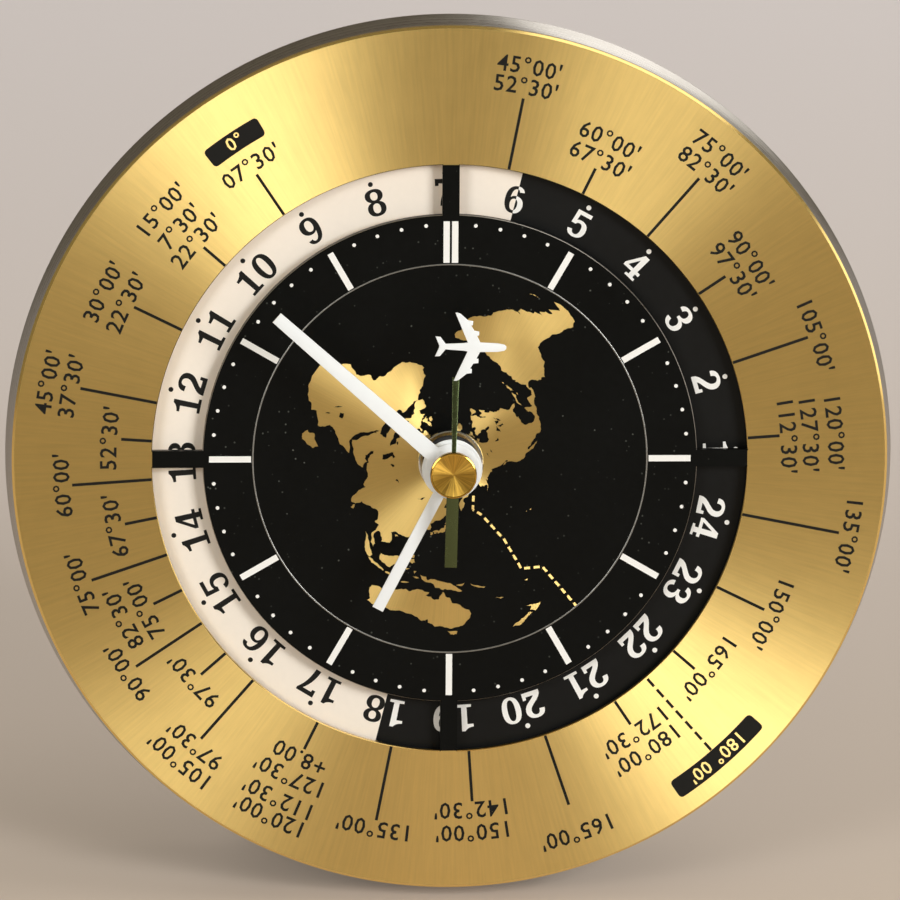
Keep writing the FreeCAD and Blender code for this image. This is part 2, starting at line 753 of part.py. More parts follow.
def upright_edges(shape):
    """Names of the straight edges that run along Z."""
    names = []
    for number, edge in enumerate(shape.Edges, start=1):
        start, end = edge.Vertexes[0].Point, edge.Vertexes[-1].Point
        if math.hypot(end.x - start.x, end.y - start.y) < 1e-6:
            names.append(f"Edge{number}")
    return names


def foot():
    """A block with a saddle for the drum, falling to a low heel behind it."""
    body = doc.addObject("PartDesign::Body", "foot_block")
    plan = foot_outline(new_sketch(body, "foot_plan", "XY_Plane", size.sole_thickness),
                        measure(0))
    doc.recompute()
    pad = body.newObject("PartDesign::Pad", "foot_pad_up")
    pad.Profile = (plan, [""])
    bind(pad, "Length", size.foot_height - size.sole_thickness)
    doc.recompute()
    rounded = body.newObject("PartDesign::Fillet", "foot_corners")
    rounded.Base = (pad, upright_edges(pad.Shape))
    bind(rounded, "Radius", size.foot_corner)
    fall = polygon(new_sketch(body, "heel_fall", "YZ_Plane"), [
        (size.heel_start - size.foot_length / 2, size.foot_height),
        (size.foot_length / 2, size.heel_height),
        (size.foot_length / 2 + size.foot_corner, size.heel_height),
        (size.foot_length / 2 + size.foot_corner, size.foot_height + size.foot_corner),
        (size.heel_start - size.foot_length / 2, size.foot_height + size.foot_corner)])
    doc.recompute()
    pocket = body.newObject("PartDesign::Pocket", "heel_fall_cut")
    pocket.Profile = (fall, [""])
    pocket.Type = "ThroughAll"
    pocket.Midplane = True
    tools = [foot_tool("drum_saddle", drum_radius + size.seat_gap,
                       drum_end * 3, (measure(0), web_back - 1), False)]
    for side, word in ((-1, "left"), (1, "right")):
        place = (size.foot_screw_side * side, size.foot_screw_depth)
        tools.append(foot_tool(f"shank_hole_{word}", size.screw_radius + size.seat_gap,
                               drum_radius, place, True))
        tools.append(foot_tool(f"head_hole_{word}",
                               size.screw_head_radius + size.seat_gap * 4,
                               rim_radius * 2, place, True))
    joined = doc.addObject("Part::MultiFuse", "foot_tools")
    joined.Shapes = tools
    cut = doc.addObject("Part::Cut", "foot")
    cut.Label = "foot"
    cut.Base = body
    cut.Tool = joined
    pieces.append(cut)
    return cut


def foot_tool(name, radius, length, place, radial):
    """A cylinder that cuts the foot: the drum's, or one of the radial screw holes."""
    tool = doc.addObject("Part::Cylinder", name)
    bind(tool, "Radius", radius)
    bind(tool, "Height", length)
    if radial:
        top = "0 - " + (drum_radius - 1 if "shank" in name else foot_screw_head).formula
        own = (f"placement(vector({place[0].formula}; {place[1].formula}; {top}); "
               f"rotation(vector(1; 0; 0); 180))")
    else:
        own = (f"placement(vector(0; {place[1].formula}; 0); "
               f"rotation(vector(1; 0; 0); -90))")
    tool.setExpression("Placement", (
        f"placement(vector(0; {face_setback.formula}; {face_height.formula}); "
        f"rotation(vector(1; 0; 0); 0 - {size.lean.formula})) * {own}"))
    return tool


def foot_screws():
    """Two screws from the foot up into the drum's bosses."""
    screws = []
    bite = drum_bore.value - size.boss_height.value + 1
    head = foot_screw_head.value
    for side in (-1, 1):
        x = size.foot_screw_side.value * side
        y = size.foot_screw_depth.value
        shank = Part.makeCylinder(size.screw_radius.value, head - bite,
                                  Vector(x, y, -head), Vector(0, 0, 1))
        cap = Part.makeCylinder(size.screw_head_radius.value, size.screw_head_height.value,
                                Vector(x, y, -head), Vector(0, 0, -1))
        screws.append(shank.fuse(cap))
    return feature("foot_screws", Part.makeCompound(screws))


def foot_sole():
    body = new_body("foot_sole")
    plan = foot_outline(new_sketch(body, "sole_plan", "XY_Plane"), size.sole_inset)
    doc.recompute()
    pad = body.newObject("PartDesign::Pad", "sole_pad")
    pad.Profile = (plan, [""])
    bind(pad, "Length", size.sole_thickness)
    doc.recompute()
    rounded = body.newObject("PartDesign::Fillet", "sole_corners")
    rounded.Base = (pad, upright_edges(pad.Shape))
    bind(rounded, "Radius", size.foot_corner - size.sole_inset)
    pieces.append(body)
    return body


# ------------------------------------------------------------------ dial furniture

def dial_nut():
    """Round chromed nut with a chamfered front, as a clock's hand nut has."""
    front = -(size.washer_thickness + size.nut_height)
    hole = bush_radius + size.seat_gap
    return seat(turned_body("dial_nut", [
        (hole, front), (nut_radius - size.plate_bevel, front),
        (nut_radius, front + size.plate_bevel),
        (nut_radius, -size.washer_thickness), (hole, -size.washer_thickness)]))


def dial_washer():
    hole = bush_radius + size.seat_gap
    edge = nut_radius - size.washer_thickness / 2
    return seat(turned_body("dial_washer", [
        (hole, -size.washer_thickness), (edge, -size.washer_thickness), (edge, 0),
        (hole, 0)]))


def day_disc():
    """The flat printed disc behind the windows."""
    hole = disc_seat + size.seat_gap
    return seat(turned_body("day_disc", [
        (hole, disc_front), (size.disc_radius, disc_front),
        (size.disc_radius, disc_back), (hole, disc_back)]))


# -------------------------------------------------------------------------- hands

def hub_disc(body, name, radius, hole, level, thickness):
    turn_profile(body, name, [
        (hole, -level), (radius, -level), (radius, thickness - level),
        (hole, thickness - level)])


def blade(body, name, corners, level, thickness):
    sketch = polygon(dial_sketch(body, name, -level), corners)
    doc.recompute()
    pad_back(body, sketch, thickness)


def hand_bore(body, radius):
    sketch = circle(dial_sketch(body, "hand_bore", 0), 0, 0, radius)
    doc.recompute()
    cut_back(body, sketch)


def collet(name, outer, hole, front, back, turn):
    return seat(turned_body(name, [(hole, front), (outer, front), (outer, back),
                                   (hole, back)]), turn)


def hour_hand():
    body = new_body("hour_hand")
    half = size.hour_width / 2
    hole = hour_pipe + size.seat_gap
    hub = hour_pipe + size.hour_hub_rim
    hub_disc(body, "hour_disc", hub, hole, size.hour_level, size.hand_thickness)
    blade(body, "hour_blade", [(-half, 0), (half, 0), (half, size.hour_length),
                               (-half, size.hour_length)],
          size.hour_level, size.hand_thickness)
    hand_bore(body, hole)
    seat(body, size.hour_angle)
    back = size.hand_thickness - size.hour_level
    return collet("hour_collet", hub - 0.5, hole, back, back + 1.7, size.hour_angle)


def minute_hand():
    body = new_body("minute_hand")
    hole = minute_pipe + size.seat_gap
    hub = minute_pipe + size.minute_hub_rim
    hub_disc(body, "minute_disc", hub, hole, size.minute_level, size.hand_thickness)
    root_half, tip_half = size.minute_root_width / 2, size.minute_tip_width / 2
    blade(body, "minute_blade", [(-root_half, 0), (root_half, 0),
                                 (tip_half, size.minute_length),
                                 (-tip_half, size.minute_length)],
          size.minute_level, size.hand_thickness)
    hand_bore(body, hole)
    seat(body, size.minute_angle)
    back = size.hand_thickness - size.minute_level
    return collet("minute_collet", hub - 0.8, hole, back, back + 0.5, size.minute_angle)


# Half of the aeroplane, nose to tail: (along the fuselage from the nose, out from its
# centre line), both as shares of its length and of its half span.
PLANE_HALF = [
    (0.000, 0.04), (0.030, 0.09), (0.120, 0.125), (0.365, 0.14), (0.415, 0.34),
    (0.385, 0.34), (0.385, 0.46), (0.455, 0.48), (0.500, 0.63), (0.475, 0.64),
    (0.475, 0.76), (0.545, 0.78), (0.655, 0.97), (0.700, 1.00), (0.725, 0.99),
    (0.540, 0.13), (0.600, 0.11), (0.850, 0.08), (0.925, 0.28), (0.995, 0.29),
    (0.940, 0.03),
]


def second_hand():
    """Counterweight, tapered blade and aeroplane, stamped in one."""
    turn = size.second_angle
    level = -size.second_level.value
    thickness = size.second_thickness.value
    length, half_span = size.plane_length.value, size.plane_span.value / 2
    axis = size.plane_offset.value
    nose = length - size.plane_tail.value
    upper = [(nose - along * length, axis + out * half_span) for along, out in PLANE_HALF]
    lower = [(x, 2 * axis - z) for x, z in reversed(upper)]
    plane = slab(upper + lower, level, thickness)
    root_half = size.second_root_width.value / 2
    end_half = size.second_end_width.value / 2
    blade_end = axis - 0.9 * half_span
    stem = slab([(-root_half, 0), (root_half, 0), (end_half, blade_end),
                 (-end_half, blade_end)], level, thickness)
    tail_half = size.tail_width.value / 2
    tail = slab([(-tail_half, 0), (-tail_half, -size.tail_length.value),
                 (tail_half, -size.tail_length.value), (tail_half, 0)], level, thickness)
    hub = bore(size.arbor_radius.value + size.second_hub_rim.value, CENTRE, level,
               level + thickness)
    hole = bore(size.arbor_radius.value + size.seat_gap.value, CENTRE, level - 1,
                level + thickness + 1)
    shape = plane.fuse([stem, tail, hub]).cut(hole).removeSplitter()
    hand = doc.addObject("Part::Feature", "second_hand")
    hand.Label = "second_hand"
    hand.Shape = shape
    seat(hand, turn)
    back = size.second_thickness - size.second_level
    collet("second_collet", size.arbor_radius + 0.5, size.arbor_radius + size.seat_gap,
           back, back + 1.9, turn)
    front = -(size.second_level + size.cap_height)
    return seat(turned_body("second_cap", [
        (0, front + size.cap_dish), (size.cap_radius - size.plate_bevel / 2, front),
        (size.cap_radius, front + size.plate_bevel / 2),
        (size.cap_radius, -size.second_level), (0, -size.second_level)]), turn)


def slab(corners, front, thickness):
    """A flat shape parallel to the dial."""
    loop = [Vector(x, front, z) for x, z in corners]
    face = Part.Face(Part.makePolygon(loop + loop[:1]))
    return face.extrude(Vector(0, thickness, 0))


# -------------------------------------------------------------------- wheel shapes

def wheel_addendum(teeth, pinion_teeth):
    """Longest tooth, in modules, that stays out of the pinion's root, less a tenth."""
    base = teeth / 2 * math.cos(PRESSURE_ANGLE)
    centres = (teeth + pinion_teeth) / 2
    limit = math.hypot(base, centres * math.sin(PRESSURE_ANGLE))
    return min(0.9, 0.9 * (limit - teeth / 2))


PINION_ADDENDUM = 0.85
ROOT_ROOM = 0.3
THINNING = 0.12


def tooth_ring(teeth, module, addendum, dedendum, phase):
    """Corner points of an involute outline, its flanks in two chords."""
    pitch = teeth * module / 2
    base = pitch * math.cos(PRESSURE_ANGLE)
    tip = pitch + addendum * module
    foot_radius = pitch - dedendum * module
    at_pitch = math.pi / 2 / teeth - THINNING * module / 2 / pitch
    spread = math.tan(PRESSURE_ANGLE) - PRESSURE_ANGLE

    def half_angle(radius):
        steep = math.acos(min(1.0, base / radius))
        return at_pitch + spread - (math.tan(steep) - steep)

    radii = [foot_radius, max(base, foot_radius), pitch, tip]
    points = []
    for number in range(teeth):
        middle = phase + 2 * math.pi * number / teeth
        for radius in radii:
            points.append((radius, middle - half_angle(max(radius, base))))
        for radius in reversed(radii):
            points.append((radius, middle + half_angle(max(radius, base))))
    return points


def toothed(teeth, module, addendum, dedendum, phase, at, front, back):
    ring = tooth_ring(teeth, module, addendum, dedendum, phase)
    loop = [(at[0] + radius * math.cos(angle), at[1] + radius * math.sin(angle))
            for radius, angle in ring]
    return slab(loop, front, back - front)


def pair(wheel, pinion):
    """Addendum and dedendum of a wheel and of the pinion that it meshes with."""
    wheel_tip = wheel_addendum(wheel, pinion)
    return ((wheel_tip, PINION_ADDENDUM + ROOT_ROOM),
            (PINION_ADDENDUM, wheel_tip + ROOT_ROOM))


def mesh_phase(teeth, phase, mate_teeth, bearing):
    """The phase that puts a mate's gap on the first wheel's tooth; bearing in degrees."""
    line = math.radians(bearing)
    return line + math.pi + math.pi / mate_teeth - (phase - line) * teeth / mate_teeth


def module_for(distance, teeth, mate_teeth):
    return 2 * distance / (teeth + mate_teeth)


def inside(front, back):
    """A span of depths behind the movement's front plate."""
    return (gear_front.value + front, gear_front.value + back)


# Depths of the wheels, in order from the dial backwards: (front, back).
DAY_WHEEL_SPAN = (disc_back.value, day_wheel_back.value)
DAY_PINION_SPAN = (DAY_WHEEL_SPAN[0] + size.air.value, DAY_WHEEL_SPAN[1] + 0.1)
MINUTE_PINION_SPAN = inside(1.8, 4.0)
HOUR_WHEEL_SPAN = inside(2.2, 3.2)
CANNON_SPAN = inside(3.8, 5.2)
MINUTE_WHEEL_SPAN = inside(4.0, 5.0)
BRIDGE_SPAN = inside(5.4, 6.3)
SPRING_SPAN = inside(5.6, 6.3)
MAGNET_SPAN = inside(5.8, 8.6)
THIRD_PINION_SPAN = inside(6.3, 7.7)
CENTRE_WHEEL_SPAN = inside(6.6, 7.4)
STATOR_SPAN = inside(6.8, 7.8)
CORE_SPAN = inside(7.8, 8.8)
SECOND_PINION_SPAN = inside(8.1, 9.5)
THIRD_WHEEL_SPAN = inside(8.4, 9.2)
FIFTH_PINION_SPAN = inside(9.5, 10.9)
SECOND_WHEEL_SPAN = inside(9.8, 10.6)
BOARD_SPAN = inside(10.8, 11.8)
ROTOR_PINION_SPAN = inside(11.0, 12.0)
FIFTH_WHEEL_SPAN = inside(11.2, 11.8)


def wheel_on_arbor(wheel, pinion, at, front, back):
    """Join a wheel and its pinion with an arbor whose ends are the pivots."""
    arbor = bore(size.pivot_radius.value, at, front, back)
    return wheel.fuse([pinion, arbor]).removeSplitter()


def train():
    """Every wheel, cut in mesh with its neighbour at the hands' shown time."""
    pivot = size.pivot_radius.value
    front_pivot = gear_front.value - size.pivot_length.value
    back_pivot = gear_back.value + size.pivot_length.value
    running = size.fit_gap.value
    arbor_radius = size.arbor_radius.value

    # motion work: cannon pinion -> minute wheel -> hour wheel and day wheel
    outer_module = module_for(MINUTE_WHEEL_DISTANCE, MINUTE_WHEEL_TEETH, CANNON_TEETH)
    (wheel_teeth, pinion_teeth) = pair(MINUTE_WHEEL_TEETH, CANNON_TEETH)
    cannon = toothed(CANNON_TEETH, outer_module, *pinion_teeth, 0.0, CENTRE, *CANNON_SPAN)
    pipe_front = -size.minute_level.value - 0.2
    journal = bore(journal_radius.value, CENTRE, CANNON_SPAN[1],
                   CENTRE_WHEEL_SPAN[1] + 0.2)
    pipe = bore(minute_pipe.value, CENTRE, pipe_front, CANNON_SPAN[0])
    hole = bore(arbor_radius + running, CENTRE, pipe_front - 1, CENTRE_WHEEL_SPAN[1] + 2)
    feature("cannon_pinion", cannon.fuse([pipe, journal]).cut(hole).removeSplitter())

    phase = mesh_phase(CANNON_TEETH, 0.0, MINUTE_WHEEL_TEETH, 0.0)
    minute_wheel = toothed(MINUTE_WHEEL_TEETH, outer_module, *wheel_teeth, phase,
                           MINUTE_WHEEL_AT, *MINUTE_WHEEL_SPAN)
    knob_phase = mesh_phase(MINUTE_WHEEL_TEETH, phase, KNOB_TEETH, KNOB_BEARING)
    hour_module = module_for(MINUTE_WHEEL_DISTANCE, HOUR_TEETH, MINUTE_PINION_TEETH)
    (hour_teeth, hour_pinion_teeth) = pair(HOUR_TEETH, MINUTE_PINION_TEETH)
    hour_pinion = toothed(MINUTE_PINION_TEETH, hour_module, *hour_pinion_teeth, 0.0,
                          MINUTE_WHEEL_AT, *MINUTE_PINION_SPAN)
    day_module = module_for(MINUTE_WHEEL_DISTANCE, DAY_TEETH, DAY_PINION_TEETH)
    (day_teeth, day_pinion_teeth) = pair(DAY_TEETH, DAY_PINION_TEETH)
    day_pinion = toothed(DAY_PINION_TEETH, day_module, *day_pinion_teeth, 0.0,
                         MINUTE_WHEEL_AT, *DAY_PINION_SPAN)
    shaft = bore(size.day_shaft_radius.value, MINUTE_WHEEL_AT, DAY_PINION_SPAN[1],
                 MINUTE_PINION_SPAN[0])
    rear = bore(pivot, MINUTE_WHEEL_AT, MINUTE_WHEEL_SPAN[1], BRIDGE_SPAN[1] - 0.1)
    feature("minute_wheel", minute_wheel.fuse(
        [hour_pinion, day_pinion, shaft, rear]).removeSplitter())

    phase = mesh_phase(MINUTE_PINION_TEETH, 0.0, HOUR_TEETH, 180.0)
    hour_wheel = toothed(HOUR_TEETH, hour_module, *hour_teeth, phase, CENTRE,
                         *HOUR_WHEEL_SPAN)
    pipe_front = -size.hour_level.value - 0.1
    pipe = bore(hour_pipe.value, CENTRE, pipe_front, HOUR_WHEEL_SPAN[0])
    hole = bore(minute_pipe.value + running, CENTRE, pipe_front - 1,
                HOUR_WHEEL_SPAN[1] + 1)
    feature("hour_wheel", hour_wheel.fuse(pipe).cut(hole).removeSplitter())

    phase = mesh_phase(DAY_PINION_TEETH, 0.0, DAY_TEETH, 180.0)
    day_wheel = toothed(DAY_TEETH, day_module, *day_teeth, phase, CENTRE, *DAY_WHEEL_SPAN)
    boss = bore(disc_seat.value, CENTRE, plate_back.value + size.air.value,
                DAY_WHEEL_SPAN[0])
    collar = bore(disc_seat.value, CENTRE, DAY_WHEEL_SPAN[1],
                  module_front.value - size.air.value)
    hole = bore(shoulder_radius.value + running, CENTRE, 0, module_front.value)
    feature("day_wheel", day_wheel.fuse([boss, collar]).cut(hole).removeSplitter())

    knob_teeth = (PINION_ADDENDUM * 0.9, pinion_teeth[1])
    knob_pinion = toothed(KNOB_TEETH, outer_module, *knob_teeth, knob_phase, KNOB_AT,
                          *CANNON_SPAN)
    shaft = bore(size.set_arbor_radius.value, KNOB_AT, CANNON_SPAN[1],
                 knob_front.value + size.knob_length.value - size.knob_wall.value)
    nose = bore(pivot, KNOB_AT, front_pivot, CANNON_SPAN[0])
    feature("set_arbor", knob_pinion.fuse([shaft, nose]).removeSplitter())

    # going train: rotor -> fifth wheel -> second wheel -> third wheel -> centre wheel
    second_module = module_for(FIFTH_DISTANCE, SECOND_TEETH, FIFTH_PINION_TEETH)
    (second_teeth, fifth_pinion_teeth) = pair(SECOND_TEETH, FIFTH_PINION_TEETH)
    second_wheel = toothed(SECOND_TEETH, second_module, *second_teeth, 0.0, CENTRE,
                           *SECOND_WHEEL_SPAN)
    third_module = module_for(THIRD_DISTANCE, THIRD_TEETH, SECOND_PINION_TEETH)
    (third_teeth, second_pinion_teeth) = pair(THIRD_TEETH, SECOND_PINION_TEETH)
    second_pinion = toothed(SECOND_PINION_TEETH, third_module, *second_pinion_teeth, 0.0,
                            CENTRE, *SECOND_PINION_SPAN)
    arbor = bore(arbor_radius, CENTRE, -size.second_level.value, SECOND_PINION_SPAN[0])
    collar = bore(arbor_radius, CENTRE, SECOND_PINION_SPAN[1], SECOND_WHEEL_SPAN[0])
    rear = bore(pivot, CENTRE, SECOND_WHEEL_SPAN[1], back_pivot)
    feature("second_wheel", second_wheel.fuse(
        [second_pinion, arbor, collar, rear]).removeSplitter())

    phase = mesh_phase(SECOND_PINION_TEETH, 0.0, THIRD_TEETH, THIRD_BEARING)
    third_wheel = toothed(THIRD_TEETH, third_module, *third_teeth, phase, THIRD_AT,
                          *THIRD_WHEEL_SPAN)
    centre_module = module_for(THIRD_DISTANCE, CENTRE_TEETH, THIRD_PINION_TEETH)
    (centre_teeth, third_pinion_teeth) = pair(CENTRE_TEETH, THIRD_PINION_TEETH)
    third_pinion = toothed(THIRD_PINION_TEETH, centre_module, *third_pinion_teeth, 0.0,
                           THIRD_AT, *THIRD_PINION_SPAN)
    feature("third_wheel", wheel_on_arbor(third_wheel, third_pinion, THIRD_AT,
                                          front_pivot, back_pivot))

    phase = mesh_phase(THIRD_PINION_TEETH, 0.0, CENTRE_TEETH, THIRD_BEARING + 180.0)
    centre_wheel = toothed(CENTRE_TEETH, centre_module, *centre_teeth, phase, CENTRE,
                           *CENTRE_WHEEL_SPAN)
    hole = bore(journal_radius.value + running, CENTRE, 0, gear_back.value)
    feature("centre_wheel", centre_wheel.cut(hole))
    spring = bore(journal_radius.value * 2, CENTRE, *SPRING_SPAN)
    boss = bore(journal_radius.value * 1.5, CENTRE, SPRING_SPAN[1],
                CENTRE_WHEEL_SPAN[0])
    feature("clutch_spring", spring.fuse(boss).cut(hole).removeSplitter())

    phase = mesh_phase(SECOND_TEETH, 0.0, FIFTH_PINION_TEETH, FIFTH_BEARING)
    fifth_pinion = toothed(FIFTH_PINION_TEETH, second_module, *fifth_pinion_teeth, phase,
                           FIFTH_AT, *FIFTH_PINION_SPAN)
    fifth_module = module_for(ROTOR_DISTANCE, FIFTH_TEETH, ROTOR_TEETH)
    (fifth_teeth, rotor_teeth) = pair(FIFTH_TEETH, ROTOR_TEETH)
    fifth_wheel = toothed(FIFTH_TEETH, fifth_module, *fifth_teeth, 0.0, FIFTH_AT,
                          *FIFTH_WHEEL_SPAN)
    feature("fifth_wheel", wheel_on_arbor(fifth_wheel, fifth_pinion, FIFTH_AT,
                                          front_pivot, back_pivot))

    phase = mesh_phase(FIFTH_TEETH, 0.0, ROTOR_TEETH, ROTOR_BEARING)
    rotor_pinion = toothed(ROTOR_TEETH, fifth_module, *rotor_teeth, phase, ROTOR_AT,
                           *ROTOR_PINION_SPAN)
    arbor = bore(pivot, ROTOR_AT, front_pivot, back_pivot)
    feature("rotor_pinion", rotor_pinion.fuse(arbor).removeSplitter())
    magnet = bore(size.magnet_radius.value, ROTOR_AT, *MAGNET_SPAN)
    hole = bore(pivot + size.seat_gap.value, ROTOR_AT, 0, gear_back.value)
    feature("rotor_magnet", magnet.cut(hole))


# ----------------------------------------------------------------------- movement

pivot_hole = size.pivot_length + 0.1


def movement_front():
    """The movement's front plate, with the bush that the plate and disc sit on."""
    body = new_body("movement_front")
    square = rectangle(dial_sketch(body, "front_square", module_front),
                       (-module_half, module_bottom), (module_half, size.module_top))
    doc.recompute()
    pad_back(body, square, size.front_plate)
    turn_profile(body, "bush", [
        (0, -size.bush_reach), (bush_radius, -size.bush_reach),
        (bush_radius, plate_back), (shoulder_radius, plate_back),
        (shoulder_radius, gear_front), (0, gear_front)])
    through = dial_sketch(body, "front_bores", 0)
    circle(through, 0, 0, bush_bore)
    circle(through, MINUTE_WHEEL_AT[0], MINUTE_WHEEL_AT[1],
           size.day_shaft_radius + size.fit_gap)
    doc.recompute()
    cut_back(body, through)
    blind = dial_sketch(body, "front_pivots", gear_front - pivot_hole)
    for at in (THIRD_AT, FIFTH_AT, ROTOR_AT, KNOB_AT):
        circle(blind, at[0], at[1], size.pivot_radius + size.fit_gap)
    doc.recompute()
    cut_back(body, blind, pivot_hole + 1)
    return seat(body)


def movement_rear():
    """The rear housing: a closed wheel chamber over an open battery bay, with four ears."""
    body = new_body("movement_rear")
    upper = rectangle(dial_sketch(body, "chamber", gear_front),
                      (-module_half, train_floor), (module_half, size.module_top))
    doc.recompute()
    pad_back(body, upper, train_end - gear_front)
    lower = rectangle(dial_sketch(body, "bay", gear_front),
                      (-module_half, module_bottom), (module_half, train_floor))
    doc.recompute()
    pad_back(body, lower, bay_end - gear_front)
    ears = dial_sketch(body, "ears", web_back)
    outer = module_half + size.ear_reach
    for side in (-1, 1):
        for level in (-1, 1):
            middle = size.ear_level * level
            near, far = inside_half * side, outer * side
            low, high = (near, far) if side > 0 else (far, near)
            rectangle(ears, (low, middle - size.ear_half_height),
                      (high, middle + size.ear_half_height))
    doc.recompute()
    pad_back(body, ears, size.front_plate)
    chamber = rectangle(dial_sketch(body, "chamber_inside", gear_front),
                        (-inside_half, -size.chamber_drop),
                        (inside_half, size.module_top - size.train_wall))
    doc.recompute()
    cut_back(body, chamber, gear_back - gear_front)
    bay = rectangle(dial_sketch(body, "bay_inside", bay_front),
                    (-inside_half, bay_bottom), (inside_half, bay_top))
    doc.recompute()
    cut_back(body, bay, bay_end)
    holes = dial_sketch(body, "ear_holes", web_back - 1)
    for x, z in ear_points():
        circle(holes, x, z, size.screw_radius)
    doc.recompute()
    cut_back(body, holes, size.front_plate + 2)
    pivots = dial_sketch(body, "rear_pivots", gear_back - 1)
    for at in (CENTRE, THIRD_AT, FIFTH_AT, ROTOR_AT):
        circle(pivots, at[0], at[1], size.pivot_radius + size.fit_gap)
    doc.recompute()
    cut_back(body, pivots, pivot_hole + 1)
    knob = circle(dial_sketch(body, "knob_bore", gear_back - 1), KNOB_AT[0], KNOB_AT[1],
                  size.set_arbor_radius + size.fit_gap)
    doc.recompute()
    cut_back(body, knob, size.train_wall + 2)
    return seat(body)


def gear_bridge():
    """Small plate inside the movement that holds the minute wheel's rear pivot."""
    front, back = BRIDGE_SPAN
    right = inside_half.value - size.air.value
    bar = slab([(6.5, -3.0), (20.0, -7.5), (right, -7.5), (right, 7.5), (20.0, 7.5),
                (12.0, 3.0), (6.5, 3.0)], front, back - front)
    running = size.fit_gap.value
    bar = bar.cut(bore(size.pivot_radius.value + running, MINUTE_WHEEL_AT, front - 1, back + 1))
    bar = bar.cut(bore(size.set_arbor_radius.value + size.air.value, KNOB_AT,
                       front - 1, back + 1))
    posts = [bore(1.2, (right - 1.7, level), gear_front.value, front)
             for level in (-5.5, 5.5)]
    return feature("gear_bridge", bar.fuse(posts).removeSplitter())


def motor():
    """Stator, coil and its core: what turns the rotor a half turn each second."""
    stator_front, stator_back = STATOR_SPAN
    middle = coil_height.value
    leg_top = middle + 2.0
    plate = slab([(-14.0, 12.2), (22.0, 12.2), (22.0, leg_top), (18.0, leg_top),
                  (18.0, 18.6), (-10.0, 18.6), (-10.0, leg_top), (-14.0, leg_top)],
                 stator_front, stator_back - stator_front)
    hole = bore(size.magnet_radius.value + size.air.value, ROTOR_AT, 0, gear_back.value)
    feature("stator", plate.cut(hole))
    core_front, core_back = CORE_SPAN
    core = slab([(-14.0, middle - 1.5), (22.0, middle - 1.5), (22.0, middle + 1.5),
                 (-14.0, middle + 1.5)], core_front, core_back - core_front)
    feature("coil_core", core)
    depth = (core_front + core_back) / 2

    def block(left, right, half_depth, half_height):
        return Part.makeBox(right - left, 2 * half_depth, 2 * half_height,
                            Vector(left, depth - half_depth, middle - half_height))

    tube = block(-8.0, 16.0, 1.5, 2.3)
    flanges = [block(-8.8, -8.0, 3.4, 3.4), block(16.0, 16.8, 3.4, 3.4)]
    tunnel = block(-12.0, 18.0, 0.55, 1.55)
    feature("coil_bobbin", tube.fuse(flanges).cut(tunnel).removeSplitter())
    winding = block(-7.9, 15.9, 3.0, 3.2)
    winding = winding.makeFillet(1.2, [edge for edge in winding.Edges
                                       if abs(edge.tangentAt(edge.FirstParameter).x) > 0.9])
    feature("coil_winding", winding.cut(block(-12.0, 18.0, 1.55, 2.35)))


def electronics():
    """Circuit board with its chip and crystal, and the two battery contacts."""
    board_front, board_back = BOARD_SPAN
    left = size.cell_room.value - inside_half.value
    board = slab([(left, -8.0), (-12.5, -8.0), (-12.5, 14.0), (-15.0, 20.0),
                  (left, 20.0)], board_front, board_back - board_front)
    legs = [bore(0.8, at, board_back, gear_back.value)
            for at in ((left + 1.8, 18.0), (-14.5, -6.0))]
    feature("circuit_board", board.fuse(legs).removeSplitter())
    feature("driver_chip", Part.makeBox(6.0, 1.0, 6.0,
                                        Vector(left + 2.2, board_front - 1.0, 9.0)))
    feature("quartz_crystal", Part.makeCylinder(
        1.0, 6.0, Vector(left + 2.2, board_front - 1.0, -6.0), Vector(0, 0, 1)))
    strip = 0.3
    reach = 0.9
    height = 10.0
    depth = size.cell_radius.value * 1.65
    for name, side in (("plus_contact", -1), ("minus_contact", 1)):
        wall = -side * inside_half.value
        leaf = Part.makeBox(strip, depth, height, Vector(
            min(wall, wall + side * strip), cell_depth.value - depth / 2,
            cell_height.value - height / 2))
        dome = Part.makeCone(2.6, 1.2, reach, Vector(
            wall + side * strip, cell_depth.value, cell_height.value), Vector(side, 0, 0))
        feature(name, leaf.fuse(dome).removeSplitter())


def battery():
    """An AA cell lying in its bay, tip to the right."""
    start = Vector(-cell_half.value, cell_depth.value, cell_height.value)
    along = Vector(1, 0, 0)
    can = Part.makeCylinder(size.cell_radius.value, size.cell_length.value, start, along)
    rims = [edge for edge in can.Edges if edge.Closed and len(edge.Vertexes) == 1]
    can = can.makeFillet(0.5, rims)
    tip = Part.makeCylinder(size.cell_tip_radius.value, size.cell_tip_length.value,
                            start + along * size.cell_length.value, along)
    feature("battery_can", can)
    feature("battery_tip", tip)


